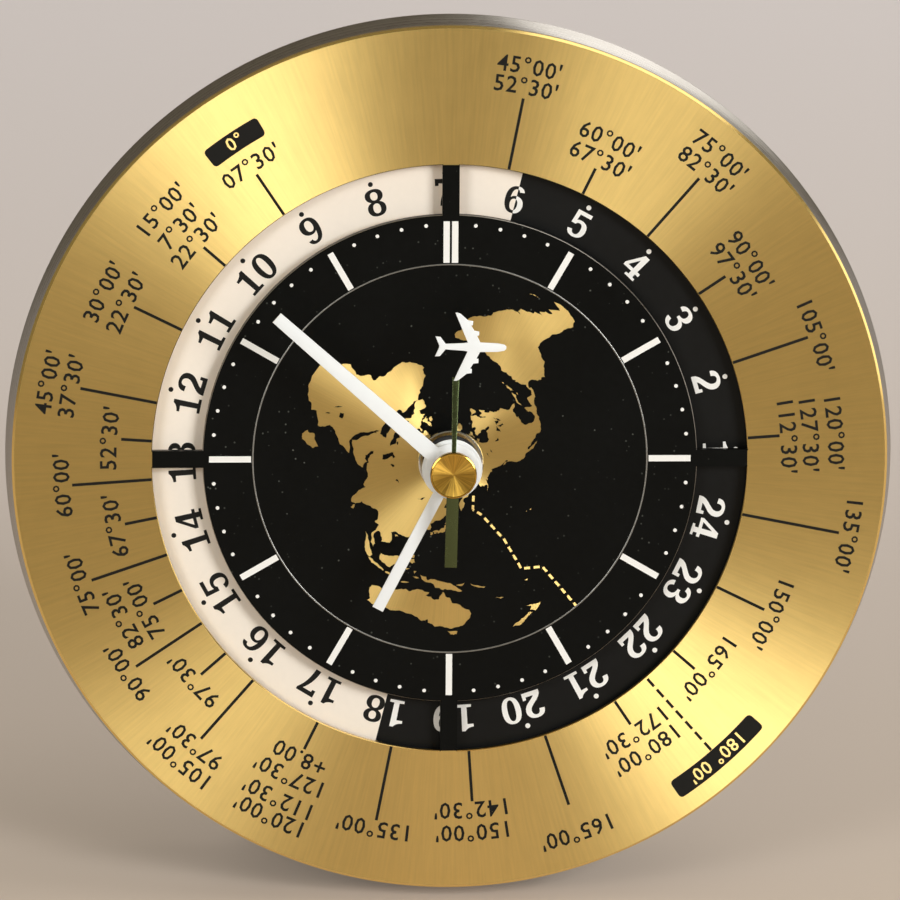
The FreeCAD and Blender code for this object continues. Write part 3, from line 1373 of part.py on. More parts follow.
def set_knob():
    """The setting knob, pressed on its arbor, with grip flutes."""
    body = new_body("set_knob")
    front, back = knob_front, knob_front + size.knob_length
    sketch = dial_sketch(body, "knob_round", front)
    circle(sketch, 0, 0, size.knob_radius)
    doc.recompute()
    pad = pad_back(body, sketch, size.knob_length)
    doc.recompute()
    rims = [f"Edge{number}" for number, edge in enumerate(pad.Shape.Edges, start=1)
            if edge.Closed and abs(edge.Vertexes[0].Point.y - back.value) < 1e-6]
    chamfer = body.newObject("PartDesign::Chamfer", "knob_edge")
    chamfer.Base = (pad, rims)
    bind(chamfer, "Size", size.plate_bevel * 2)
    flute = circle(dial_sketch(body, "flute", 0), size.knob_radius + 0.35, 0, 0.8)
    doc.recompute()
    repeat_round(body, cut_back(body, flute), 20)
    hole = circle(dial_sketch(body, "arbor_hole", front), 0, 0,
                  size.set_arbor_radius + size.seat_gap)
    doc.recompute()
    cut_back(body, hole, size.knob_length - size.knob_wall + size.seat_gap)
    body.setExpression("Placement", (
        f"placement(vector(0; {face_setback.formula}; {face_height.formula}); "
        f"rotation(vector(1; 0; 0); 0 - {size.lean.formula})) * "
        f"placement(vector({KNOB_AT[0]}; 0; {KNOB_AT[1]}); rotation(vector(0; 1; 0); 0))"))
    pieces.append(body)
    return body


# ------------------------------------------------------------------------ document

def build():
    dial_plate()
    case_rim()
    case_drum()
    back_cover()
    battery_door()
    door_hinge_pin()
    cover_screws()
    movement_screws()
    plate_studs()
    stud_nuts()
    foot()
    foot_screws()
    foot_sole()
    dial_nut()
    dial_washer()
    day_disc()
    hour_hand()
    minute_hand()
    second_hand()
    train()
    movement_front()
    movement_rear()
    gear_bridge()
    motor()
    electronics()
    battery()
    set_knob()


def check_and_write():
    """Refuse any failed object, then write each piece to a file of its own name."""
    doc.recompute()
    for item in doc.Objects:
        if "Invalid" in item.State or "Error" in item.State:
            raise RuntimeError(f"{item.Name} failed: {item.State}")
    os.makedirs("parts", exist_ok=True)
    for piece in pieces:
        shape = piece.Shape
        if shape.isNull() or not shape.isValid() or not shape.Solids:
            raise RuntimeError(f"{piece.Label} has no valid solid")
        shape.exportStep(os.path.join("parts", f"{piece.Label}.step"))
        print(f"{piece.Label:18s} solids {len(shape.Solids)} volume {shape.Volume:9.1f}")


build()
check_and_write()
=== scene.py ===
"""World time clock: the pieces that are seen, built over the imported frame.

Sizes are in millimetres in the clock's own frame: x to the right, y into the clock and z up
the leaning face, from the middle of the face. CLOCK takes them to the row frame in metres.
Angles round the face are clockwise from 12, as the dial is read.
"""
import json
import math
import random

import bmesh
import bpy
import numpy as np
from bpy.props import FloatProperty, FloatVectorProperty, IntProperty, PointerProperty
from mathutils import Matrix, Quaternion, Vector
from mathutils.geometry import delaunay_2d_cdt


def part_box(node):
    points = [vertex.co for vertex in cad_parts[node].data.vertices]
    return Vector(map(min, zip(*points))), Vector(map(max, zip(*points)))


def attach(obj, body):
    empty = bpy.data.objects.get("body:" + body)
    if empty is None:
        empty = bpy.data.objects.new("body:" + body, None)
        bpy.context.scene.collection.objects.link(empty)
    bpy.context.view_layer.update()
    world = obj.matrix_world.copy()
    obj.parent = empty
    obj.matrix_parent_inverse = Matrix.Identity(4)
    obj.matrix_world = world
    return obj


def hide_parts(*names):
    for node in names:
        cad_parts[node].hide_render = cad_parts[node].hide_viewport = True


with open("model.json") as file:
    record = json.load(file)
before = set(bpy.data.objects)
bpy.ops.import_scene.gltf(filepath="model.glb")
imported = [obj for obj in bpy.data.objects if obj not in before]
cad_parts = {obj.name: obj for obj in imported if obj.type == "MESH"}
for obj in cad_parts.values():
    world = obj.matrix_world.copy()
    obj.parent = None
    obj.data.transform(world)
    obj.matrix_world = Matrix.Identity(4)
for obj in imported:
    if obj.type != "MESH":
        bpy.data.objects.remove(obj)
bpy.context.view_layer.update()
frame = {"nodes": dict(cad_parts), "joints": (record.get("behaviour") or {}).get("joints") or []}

bl_info = {
    "name": "World time clock",
    "version": (1, 0, 0),
    "blender": (4, 5, 0),
    "location": "3D View > Sidebar > Clock",
    "description": "Builds the dial, hands, case and stage of a world time clock",
    "category": "Object",
}

AXIS = next(joint for joint in frame["joints"] if joint["name"] == "minute_turn")
RIGHT = Vector((1, 0, 0))
INWARD = Vector(AXIS["axis"]).normalized()
UPWARD = RIGHT.cross(INWARD)
FACE = Vector(AXIS["pos_m"])
TURN = Matrix((RIGHT, INWARD, UPWARD)).transposed()
CLOCK = Matrix.Translation(FACE) @ TURN.to_4x4() @ Matrix.Scale(0.001, 4)
LEAN = math.atan2(-INWARD.z, INWARD.y)

# The plate, in mm, as the frame has it.
PLATE_RADIUS, PLATE_DEPTH, PLATE_HOLE = 64.1, 1.2, 3.95
WINDOW_IN, WINDOW_OUT, BRIDGE_HALF = 36.2, 43.6, 1.25
MAP_MIDDLE = (0.28, -0.41)  # where the pole stands on the face, in mm
MERIDIAN_ANGLE = 326.1      # where longitude 0 stands on the face, in degrees
DATE_LINE_ANGLE = 138.5     # where the date line crosses the brass, in degrees
POLE_SCALE = 0.1932         # mm on the face for one degree of latitude
DISC_EDGE_ANGLE = 14.1      # where the cream half of the disc ends, in degrees
DISC_FRONT = 2.2            # depth of the disc's front face, in mm
NINE_ANGLE = 328.8          # where the disc's 9 stands at rest, in degrees


def linear(code):
    """A hex colour, as it looks on a screen, as linear values."""
    steps = [int(code[i:i + 2], 16) / 255 for i in (1, 3, 5)]
    return [s / 12.92 if s <= 0.04045 else ((s + 0.055) / 1.055) ** 2.4 for s in steps]


def hue(name, code, words):
    """A colour that a user can change."""
    return FloatVectorProperty(name=name, description=words, default=linear(code),
                               subtype="COLOR", size=3, min=0, max=1)


def length(name, value, words):
    """A size that a user can change; value is in mm."""
    return FloatProperty(name=name, description=words, default=value / 1000, min=0.00001,
                         precision=5, subtype="DISTANCE", unit="LENGTH")


class ClockSizes(bpy.types.PropertyGroup):
    """Sizes of the printed marks and the small parts."""
    bar_length: length("Hour bar", 6.15, "Length of an hour bar")
    bar_width: length("Bar width", 0.92, "Width of an hour bar")
    bar_start: length("Bar foot", 29.1, "Distance of a bar's foot from the middle")
    minute_dot: length("Minute dot", 0.56, "Diameter of a minute dot")
    minute_circle: length("Minute circle", 34.75, "Radius of the circle of minute dots")
    track_radius: length("Track line", 28.85, "Radius of the fine line inside the bars")
    track_width: length("Track width", 0.24, "Width of that line")
    index_width: length("Index line", 0.43, "Width of the lines on the brass")
    row_height: length("Row figures", 2.4, "Height of the figures on the brass")
    hour_figure: length("Hour figures", 4.0, "Height of the figures on the disc")
    hour_dot: length("Disc dot", 0.74, "Diameter of a dot on the disc")
    ink: length("Ink", 0.02, "Thickness of the ink")
    lacquer: length("Lacquer", 0.03, "Thickness of the black lacquer")
    bevel: length("Polished bevel", 0.35, "Bevel round the plate's edge")
    flutes: IntProperty(name="Flutes", description="Flutes round the setting knob",
                        default=20, min=6, max=60)
    screws: IntProperty(name="Cover screws", description="Screws of the back cover",
                        default=4, min=2, max=12)


class ClockColours(bpy.types.PropertyGroup):
    """Colours of the finishes."""
    brass: hue("Brass", "#E6C67B", "Lacquered brass of the plate")
    lacquer: hue("Black lacquer", "#060706", "Black fields of the dial")
    white_ink: hue("White ink", "#F1EEE8", "Bars and dots")
    black_ink: hue("Black ink", "#0B0A06", "Lines and figures on the brass")
    cream: hue("Cream", "#F3E7D8", "Day half of the disc")
    night: hue("Night", "#0B0B0A", "Night half of the disc")
    enamel: hue("White enamel", "#F2F3F2", "Hour and minute hands")
    # This gilt is darker than the plate's brass so that the cap's upper part reads dark: painted
    # shade.
    gilt: hue("Gilt", "#BC9440", "Cap of the second hand")
    # The blade's dark olive tone stands in for the dark surroundings its bare gilt mirrors:
    # painted shade.
    olive: hue("Gilt with painted shade", "#566040", "Blade of the second hand")
    chrome: hue("Chrome", "#CFCFCF", "Dial nut and washer")
    nickel: hue("Rim metal", "#A8A299", "Spun rim")
    abs_black: hue("Black moulding", "#1C1C1D", "Drum, cover, foot and knob")
    zinc: hue("Zinc", "#B5B8BA", "Screws and nuts")


class ClockStage(bpy.types.PropertyGroup):
    """Floor, lamps and camera."""
    floor_near: hue("Floor in front", "#B5A595", "Floor under and before the clock")
    floor_far: hue("Floor behind", "#CFC7C6", "Floor behind the clock")
    key: FloatProperty(name="Key lamp", description="Power of the lamp on the right",
                       default=9.0, min=0, unit="POWER")
    fill: FloatProperty(name="Second lamp", description="Power of the lamp on the left",
                        default=4.2, min=0, unit="POWER")
    top: FloatProperty(name="Top lamp", description="Power of the lamp overhead",
                       default=2.6, min=0, unit="POWER")
    sky: FloatProperty(name="World", description="Strength of the plain world light",
                       default=0.25, min=0)
    lens: FloatProperty(name="Lens", description="Focal length of the camera",
                        default=683.5, min=20, subtype="DISTANCE_CAMERA")


def mm(name):
    """A size of the clock in millimetres."""
    return getattr(bpy.context.scene.clock_sizes, name) * 1000


def tone(name):
    """A colour of the clock, with its alpha."""
    return (*getattr(bpy.context.scene.clock_colours, name), 1)


# ---------------------------------------------------------------- materials

def add(tree, kind, settings=(), inputs=(), output=0):
    """Adds a node with its settings, values and links, and gives one of its outputs."""
    node = tree.nodes.new(kind)
    for key, value in dict(settings).items():
        setattr(node, key, value)
    for key, value in dict(inputs).items():
        if isinstance(value, bpy.types.NodeSocket):
            tree.links.new(value, node.inputs[key])
        else:
            node.inputs[key].default_value = value
    return node.outputs[output] if node.outputs else None


def clock_mm(tree, scale=(1, 1, 1)):
    """Object coordinates as millimetres in the clock's frame, scaled along its axes."""
    at = TURN.transposed() @ FACE
    place = add(tree, "ShaderNodeTexCoord", output="Object")
    turned = add(tree, "ShaderNodeMapping", {}, {
        "Vector": place, "Rotation": (LEAN, 0, 0),
        "Location": [-1000 * a for a in at], "Scale": (1000, 1000, 1000)})
    if scale == (1, 1, 1):
        return turned
    return add(tree, "ShaderNodeVectorMath", {"operation": "MULTIPLY"},
               {0: turned, 1: scale})


# Noise keeps mostly between these two values.
NOISE_SPAN = {"From Min": 0.3, "From Max": 0.7}
PATCH = 14                  # mm across the broad, faint patches of every finish


def shaded(colour, by):
    """A colour times a number."""
    return (*[min(1, c * by) for c in colour[:3]], 1)


def finish(name, colour, metallic=0.0, roughness=0.5, grain=0.4, relief=0.004, tint=0.07,
           gloss=0.06, streak=(1, 1, 1), **constants):
    """A material whose colour, gloss and surface vary with a grain; grain and relief in mm.

    Streak scales the grain along x, y and z, and constants go on the shader's own sockets.
    """
    known = bpy.data.materials.get(name)
    if known:
        return known
    material = bpy.data.materials.new(name)
    material.use_nodes = True
    tree = material.node_tree
    tree.nodes.clear()
    fine = add(tree, "ShaderNodeTexNoise", {}, {
        "Vector": clock_mm(tree, streak), "Scale": 1 / grain, "Detail": 3.0,
        "Roughness": 0.55, "Distortion": 0.0}, "Fac")
    broad = add(tree, "ShaderNodeTexNoise", {}, {
        "Vector": clock_mm(tree), "Scale": 1 / PATCH, "Detail": 2.0, "Roughness": 0.55,
        "Distortion": 0.0}, "Fac")
    half = add(tree, "ShaderNodeMath", {"operation": "MULTIPLY"}, {0: fine, 1: 0.5})
    both = add(tree, "ShaderNodeMath", {"operation": "MULTIPLY_ADD"},
               {0: broad, 1: 0.5, 2: half})
    share = add(tree, "ShaderNodeMapRange", {}, {"Value": both, **NOISE_SPAN})
    body = add(tree, "ShaderNodeMix", {"data_type": "RGBA"},
               {0: share, 6: shaded(colour, 1 - tint), 7: shaded(colour, 1 + tint)}, 2)
    dull = add(tree, "ShaderNodeMapRange", {}, {
        "Value": both, **NOISE_SPAN, "To Min": roughness - gloss,
        "To Max": roughness + gloss})
    surface = add(tree, "ShaderNodeBump", {}, {
        "Height": fine, "Strength": 0.6, "Distance": relief / 1000})
    shader = add(tree, "ShaderNodeBsdfPrincipled", {}, {
        "Base Color": body, "Metallic": metallic, "Roughness": dull, "Normal": surface,
        **constants})
    add(tree, "ShaderNodeOutputMaterial", {}, {"Surface": shader})
    material.diffuse_color = colour
    return material


def shader_of(material):
    """The shader node of a material."""
    return next(n for n in material.node_tree.nodes if n.type == "BSDF_PRINCIPLED")


def round_tangent(tree):
    """Unit vector round the clock's axis, so that a finish can be brushed along a radius."""
    place = add(tree, "ShaderNodeTexCoord", output="Object")
    off = add(tree, "ShaderNodeVectorMath", {"operation": "SUBTRACT"}, {0: place, 1: FACE})
    across = add(tree, "ShaderNodeVectorMath", {"operation": "CROSS_PRODUCT"},
                 {0: INWARD, 1: off})
    unit = add(tree, "ShaderNodeVectorMath", {"operation": "NORMALIZE"}, {0: across})
    return add(tree, "ShaderNodeVectorTransform", {
        "vector_type": "VECTOR", "convert_from": "OBJECT", "convert_to": "WORLD"},
        {"Vector": unit})


def spokes(tree, pitch, run):
    """Noise in streaks along the radius: pitch apart at 40 mm out, and run mm long."""
    where = clock_mm(tree)
    flat = add(tree, "ShaderNodeVectorMath", {"operation": "MULTIPLY"},
               {0: where, 1: (1, 0, 1)})
    unit = add(tree, "ShaderNodeVectorMath", {"operation": "NORMALIZE"}, {0: flat})
    ring = add(tree, "ShaderNodeVectorMath", {"operation": "SCALE"},
               {0: unit, "Scale": 40 / pitch})
    out = add(tree, "ShaderNodeVectorMath", {"operation": "LENGTH"}, {0: flat}, "Value")
    along = add(tree, "ShaderNodeMath", {"operation": "DIVIDE"}, {0: out, 1: run})
    shift = add(tree, "ShaderNodeCombineXYZ", {}, {"Y": along})
    place = add(tree, "ShaderNodeVectorMath", {"operation": "ADD"}, {0: ring, 1: shift})
    return add(tree, "ShaderNodeTexNoise", {}, {
        "Vector": place, "Scale": 1.0, "Detail": 2.0, "Roughness": 0.6}, "Fac")


def hoops(tree, pitch):
    """Noise in rings round the clock's axis, pitch mm apart, for turned and spun metal."""
    where = clock_mm(tree)
    flat = add(tree, "ShaderNodeVectorMath", {"operation": "MULTIPLY"},
               {0: where, 1: (1, 0, 1)})
    out = add(tree, "ShaderNodeVectorMath", {"operation": "LENGTH"}, {0: flat}, "Value")
    split = add(tree, "ShaderNodeSeparateXYZ", {}, {"Vector": where}, "Y")
    place = add(tree, "ShaderNodeCombineXYZ", {}, {
        "X": add(tree, "ShaderNodeMath", {"operation": "DIVIDE"}, {0: out, 1: pitch}),
        "Y": add(tree, "ShaderNodeMath", {"operation": "DIVIDE"}, {0: split, 1: pitch})})
    return add(tree, "ShaderNodeTexNoise", {}, {
        "Vector": place, "Scale": 1.0, "Detail": 2.0, "Roughness": 0.6}, "Fac")


def lined(material, lines, relief, tint=0.12, gloss=0.05):
    """Lays lines of a tool or brush over a finish: they tint it, and dull and groove it."""
    tree = material.node_tree
    shader = shader_of(material)
    bump = shader.inputs["Normal"].links[0].from_node
    over = add(tree, "ShaderNodeBump", {}, {
        "Height": lines, "Strength": 0.5, "Distance": relief / 1000,
        "Normal": bump.outputs["Normal"]})
    tree.links.new(over, shader.inputs["Normal"])
    colour = shader.inputs["Base Color"].links[0].from_socket
    shade = add(tree, "ShaderNodeMapRange", {}, {
        "Value": lines, **NOISE_SPAN, "To Min": 1 - tint, "To Max": 1 + tint})
    tinted = add(tree, "ShaderNodeVectorMath", {"operation": "SCALE"},
                 {0: colour, "Scale": shade})
    tree.links.new(tinted, shader.inputs["Base Color"])
    dull = shader.inputs["Roughness"].links[0].from_socket
    change = add(tree, "ShaderNodeMapRange", {}, {
        "Value": lines, **NOISE_SPAN, "To Min": -gloss, "To Max": gloss})
    rough = add(tree, "ShaderNodeMath", {"operation": "ADD"}, {0: dull, 1: change})
    tree.links.new(rough, shader.inputs["Roughness"])
    return material


def sunray_brass():
    """Brass sheet, brushed from the middle outwards and clear lacquered: the highlight
    opens into bright fans, with fine streaks along each radius. The streaks are drawn
    0.3 mm apart, three times as coarse as real ones, so that they show."""
    name = "sunray_brushed_brass"
    if name in bpy.data.materials:
        return bpy.data.materials[name]
    material = finish(name, tone("brass"), metallic=1.0, roughness=0.4, grain=3.0,
                      relief=0.0005, tint=0.03, gloss=0.015, Anisotropic=0.96,
                      **{"Coat Weight": 0.12, "Coat Roughness": 0.25})
    tree = material.node_tree
    tree.links.new(round_tangent(tree), shader_of(material).inputs["Tangent"])
    return lined(material, spokes(tree, 0.3, 9), 0.001, tint=0.045, gloss=0.02)


def polished_brass():
    """Diamond-turned brass edge: a narrow, nearly mirror-like line of light."""
    name = "polished_brass_edge"
    if name in bpy.data.materials:
        return bpy.data.materials[name]
    material = finish(name, shaded(tone("brass"), 1.05), metallic=1.0, roughness=0.2,
                      grain=1.5, relief=0.0005, tint=0.03, gloss=0.03)
    return lined(material, hoops(material.node_tree, 0.12), 0.0008, tint=0.04)


def dial_lacquer():
    """Screen-printed black lacquer, stoved: soft gloss, slight orange peel and a few
    specks of dust that catch the light."""
    name = "black_dial_lacquer"
    if name in bpy.data.materials:
        return bpy.data.materials[name]
    material = finish(name, tone("lacquer"), roughness=0.34, grain=1.2, relief=0.002,
                      tint=0.12, gloss=0.05, **{"IOR": 1.5, "Specular IOR Level": 0.12})
    tree, shader = material.node_tree, shader_of(material)
    cells = add(tree, "ShaderNodeTexVoronoi", {"feature": "F1"}, {
        "Vector": clock_mm(tree), "Scale": 0.75, "Randomness": 1.0}, "Distance")
    patch = add(tree, "ShaderNodeTexNoise", {}, {
        "Vector": clock_mm(tree), "Scale": 1 / 9, "Detail": 2.0, "Roughness": 0.55,
        "Distortion": 0.0}, "Fac")
    near = add(tree, "ShaderNodeMapRange", {}, {
        "Value": cells, "From Min": 0.06, "From Max": 0.12, "To Min": 1, "To Max": 0})
    thick = add(tree, "ShaderNodeMapRange", {}, {
        "Value": patch, "From Min": 0.42, "From Max": 0.62, "To Min": 0, "To Max": 0.55})
    dust = add(tree, "ShaderNodeMath", {"operation": "MULTIPLY", "use_clamp": True},
               {0: near, 1: thick})
    colour = shader.inputs["Base Color"].links[0].from_socket
    speckled = add(tree, "ShaderNodeMix", {"data_type": "RGBA"},
                   {0: dust, 6: colour, 7: (*linear("#6E7068"), 1)}, 2)
    tree.links.new(speckled, shader.inputs["Base Color"])
    return material


def printed_ink(name, colour):
    """Screen-printing ink: thin and matt, with a slightly open surface."""
    return finish(name, colour, roughness=0.5, grain=0.25, relief=0.002, tint=0.03,
                  **{"Specular IOR Level": 0.25})


def spun_metal():
    """Spun and plated steel: fine rings of the spinning tool round the rim."""
    name = "spun_nickelled_rim"
    if name in bpy.data.materials:
        return bpy.data.materials[name]
    material = finish(name, tone("nickel"), metallic=1.0, roughness=0.3, grain=2.0,
                      relief=0.0005, tint=0.04, gloss=0.03)
    return lined(material, hoops(material.node_tree, 0.35), 0.004, tint=0.16, gloss=0.05)


def moulded_black():
    """Injection-moulded ABS with a spark-eroded texture: even, satin and finely grained."""
    return finish("moulded_black_abs", tone("abs_black"), roughness=0.46, grain=0.35,
                  relief=0.012, tint=0.1, gloss=0.05, IOR=1.53)


def zinc_plate():
    """Steel, zinc plated and clear passivated: bluish white with a satin bloom."""
    return finish("zinc_plated_steel", tone("zinc"), metallic=1.0, roughness=0.32,
                  grain=0.5, relief=0.002, tint=0.08)


# ---------------------------------------------------------------- shapes

def polar(radius, angle):
    """(x, z) at a radius and a clockwise angle from 12."""
    a = math.radians(angle)
    return radius * math.sin(a), radius * math.cos(a)


def arc(radius, start, end, step=1.5):
    """Points of an arc round the middle of the face."""
    count = max(1, round(abs(end - start) / step))
    return [polar(radius, start + (end - start) * i / count) for i in range(count + 1)]


def ring_loop(radius, count):
    """A closed circle of points."""
    return [polar(radius, 360 * i / count) for i in range(count)]


def piece(name, bm, finishes, body, stands_for=(), slot=None, sharp=28, place=CLOCK,
          outward=True):
    """Makes a shape drawn in the clock's frame a finished piece that rides on a body."""
    bm.transform(place)
    if outward:
        bmesh.ops.recalc_face_normals(bm, faces=bm.faces[:])
    mesh = bpy.data.meshes.new(name)
    bm.to_mesh(mesh)
    bm.free()
    for material in finishes:
        mesh.materials.append(material)
    mesh.shade_smooth()
    mesh.set_sharp_from_angle(angle=math.radians(sharp))
    thing = bpy.data.objects.new(name, mesh)
    bpy.context.scene.collection.objects.link(thing)
    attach(thing, body)
    if stands_for:
        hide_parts(*stands_for)
    return thing


def lathe(bm, profile, steps=192, centre=(0, 0), start=0.0, finish_at=None, wave=None):
    """Turns a closed profile of (radius, depth) points round an axis through centre.

    finish_at gives a face's finish from its side of the profile and its step round, and
    wave gives a radius from the radius, the depth and the angle.
    """
    rings = []
    for radius, depth in profile:
        if radius < 1e-6:
            rings.append([bm.verts.new((centre[0], depth, centre[1]))] * steps)
            continue
        ring = []
        for i in range(steps):
            angle = start + 360 * i / steps
            r = wave(radius, depth, angle) if wave else radius
            x, z = polar(r, angle)
            ring.append(bm.verts.new((centre[0] + x, depth, centre[1] + z)))
        rings.append(ring)
    for side, (one, two) in enumerate(zip(rings, rings[1:] + rings[:1])):
        if one[0] is one[1] and two[0] is two[1]:
            continue
        for i in range(steps):
            j = (i + 1) % steps
            corners = list(dict.fromkeys((one[i], one[j], two[j], two[i])))
            face = bm.faces.new(corners)
            if finish_at:
                face.material_index = finish_at(side, i)
    return bm


def inside(points, loop):
    """Which of the points lie in a closed loop, by crossings."""
    loop = np.asarray(loop)
    x, z = points[:, 0:1], points[:, 1:2]
    ax, az = loop[:, 0], loop[:, 1]
    bx, bz = np.roll(ax, -1), np.roll(az, -1)
    crosses = (az > z) != (bz > z)
    rise = np.where(bz == az, 1, bz - az)
    left = x < (bx - ax) * (z - az) / rise + ax
    return (crosses & left).sum(axis=1) % 2 == 1


def triangles(loops, keep):
    """Corner points and triangles of the area between loops where keep says so."""
    points, edges = [], []
    for loop in loops:
        first = len(points)
        points += [Vector(p) for p in loop]
        edges += [(first + i, first + (i + 1) % len(loop)) for i in range(len(loop))]
    found, _, faces, *_ = delaunay_2d_cdt(points, edges, [], 0, 1e-5)
    middles = np.array([[sum(found[i][k] for i in face) / 3 for k in (0, 1)]
                        for face in faces])
    wanted = keep(middles)
    return found, [face for face, good in zip(faces, wanted) if good]


def even_odd(loops):
    """Keeps what lies in an odd number of the loops."""
    return lambda middles: sum(inside(middles, loop).astype(int) for loop in loops) % 2 == 1


def prism(bm, points, faces, front, back):
    """A closed slab of these triangles from depth front to depth back."""
    used = sorted({i for face in faces for i in face})
    near = {i: bm.verts.new((points[i][0], front, points[i][1])) for i in used}
    far = {i: bm.verts.new((points[i][0], back, points[i][1])) for i in used}
    sides = set()
    for face in faces:
        bm.faces.new([near[i] for i in face])
        bm.faces.new([far[i] for i in reversed(face)])
        sides.update(zip(face, face[1:] + face[:1]))
    for a, b in sorted(sides):
        if (b, a) not in sides:
            bm.faces.new((near[b], near[a], far[a], far[b]))
    return bm


def slab(bm, loops, front, back):
    """A closed slab with the outline and holes that the loops give."""
    points, faces = triangles(loops, even_odd(loops))
    return prism(bm, points, [list(face) for face in faces], front, back)


def levels(bm, steps, walls=None):
    """A solid through the same loops at several depths, capped in front and behind.

    steps holds (depth, loops) pairs; walls gives a finish from the step and the loop.
    """
    rows = [[[bm.verts.new((x, depth, z)) for x, z in loop] for loop in loops]
            for depth, loops in steps]
    for (_, loops), row in ((steps[0], rows[0]), (steps[-1], rows[-1])):
        flat = [vert for ring in row for vert in ring]
        points, faces = triangles(loops, even_odd(loops))
        if len(points) != len(flat):
            raise RuntimeError("an outline crosses itself")
        for face in faces:
            bm.faces.new([flat[i] for i in face])
    for step, (one, two) in enumerate(zip(rows, rows[1:])):
        for which, (near, far) in enumerate(zip(one, two)):
            count = len(near)
            for i in range(count):
                j = (i + 1) % count
                face = bm.faces.new((near[i], near[j], far[j], far[i]))
                face.material_index = walls(step, which) if walls else 0
    return bm


def strip(start, end, half):
    """Outline of a straight strip between two points, with its half width."""
    (ax, az), (bx, bz) = start, end
    run = math.hypot(bx - ax, bz - az)
    nx, nz = (bz - az) / run, -(bx - ax) / run
    return [(ax + nx * half, az + nz * half), (bx + nx * half, bz + nz * half),
            (bx - nx * half, bz - nz * half), (ax - nx * half, az - nz * half)]


def turned(loop, angle):
    """A loop turned clockwise about the middle of the face."""
    a = math.radians(angle)
    c, s = math.cos(a), math.sin(a)
    return [(x * c + z * s, z * c - x * s) for x, z in loop]


def shrunk(loop, by):
    """A closed loop moved inwards by a distance, each corner along its bisector."""
    area = sum(a[0] * b[1] - b[0] * a[1] for a, b in zip(loop, loop[1:] + loop[:1]))
    side = by if area > 0 else -by
    moved = []
    for i, (x, z) in enumerate(loop):
        px, pz = loop[i - 1]
        nx, nz = loop[(i + 1) % len(loop)]
        one = Vector((x - px, z - pz)).normalized()
        two = Vector((nx - x, nz - z)).normalized()
        normal = Vector((-one.y - two.y, one.x + two.x))
        reach = side / max(0.35, normal.length / 2) if normal.length > 1e-9 else side
        normal = normal.normalized() * reach
        moved.append((x + normal.x, z + normal.y))
    return moved


def soft_slab(bm, loops, front, back, edge):
    """A slab whose front and back edges are rounded off by a small radius."""
    lift = [(front, edge), (front + edge * 0.3, edge * 0.3), (front + edge, 0),
            (back - edge, 0), (back - edge * 0.3, edge * 0.3), (back, edge)]
    area = [abs(sum(a[0] * b[1] - b[0] * a[1] for a, b in zip(p, p[1:] + p[:1])))
            for p in loops]
    outer = area.index(max(area))
    return levels(bm, [(depth, [shrunk(p, by if i == outer else -by)
                                for i, p in enumerate(loops)]) for depth, by in lift])


def softened(node, name, finishes, body, width, slot):
    """A CAD node's shape with its sharp edges rounded, as a moulding has them."""
    bm = bmesh.new()
    bm.from_mesh(frame["nodes"][node].data)
    bmesh.ops.remove_doubles(bm, verts=bm.verts[:], dist=2e-6)
    bmesh.ops.dissolve_limit(bm, angle_limit=math.radians(0.6), verts=bm.verts[:],
                             edges=bm.edges[:])
    edges = [e for e in bm.edges if len(e.link_faces) == 2
             and e.calc_face_angle(0) > math.radians(32)]
    bmesh.ops.bevel(bm, geom=edges, offset=width / 1000, segments=2, profile=0.5,
                    affect="EDGES", clamp_overlap=True, loop_slide=True)
    bmesh.ops.triangulate(bm, faces=[f for f in bm.faces if len(f.verts) > 4])
    return piece(name, bm, finishes, body, (node,), slot, 40, Matrix.Identity(4))


# ---------------------------------------------------------------- repeated shapes

def nodes_group(name, inputs):
    """An empty node tree for a modifier, with its named inputs in order."""
    tree = bpy.data.node_groups.new(name, "GeometryNodeTree")
    tree.is_modifier = True
    face = tree.interface
    face.new_socket("Geometry", in_out="INPUT", socket_type="NodeSocketGeometry")
    for label, kind, value in inputs:
        socket = face.new_socket(label, in_out="INPUT", socket_type=kind)
        if value is not None:
            socket.default_value = value
    face.new_socket("Geometry", in_out="OUTPUT", socket_type="NodeSocketGeometry")
    return tree


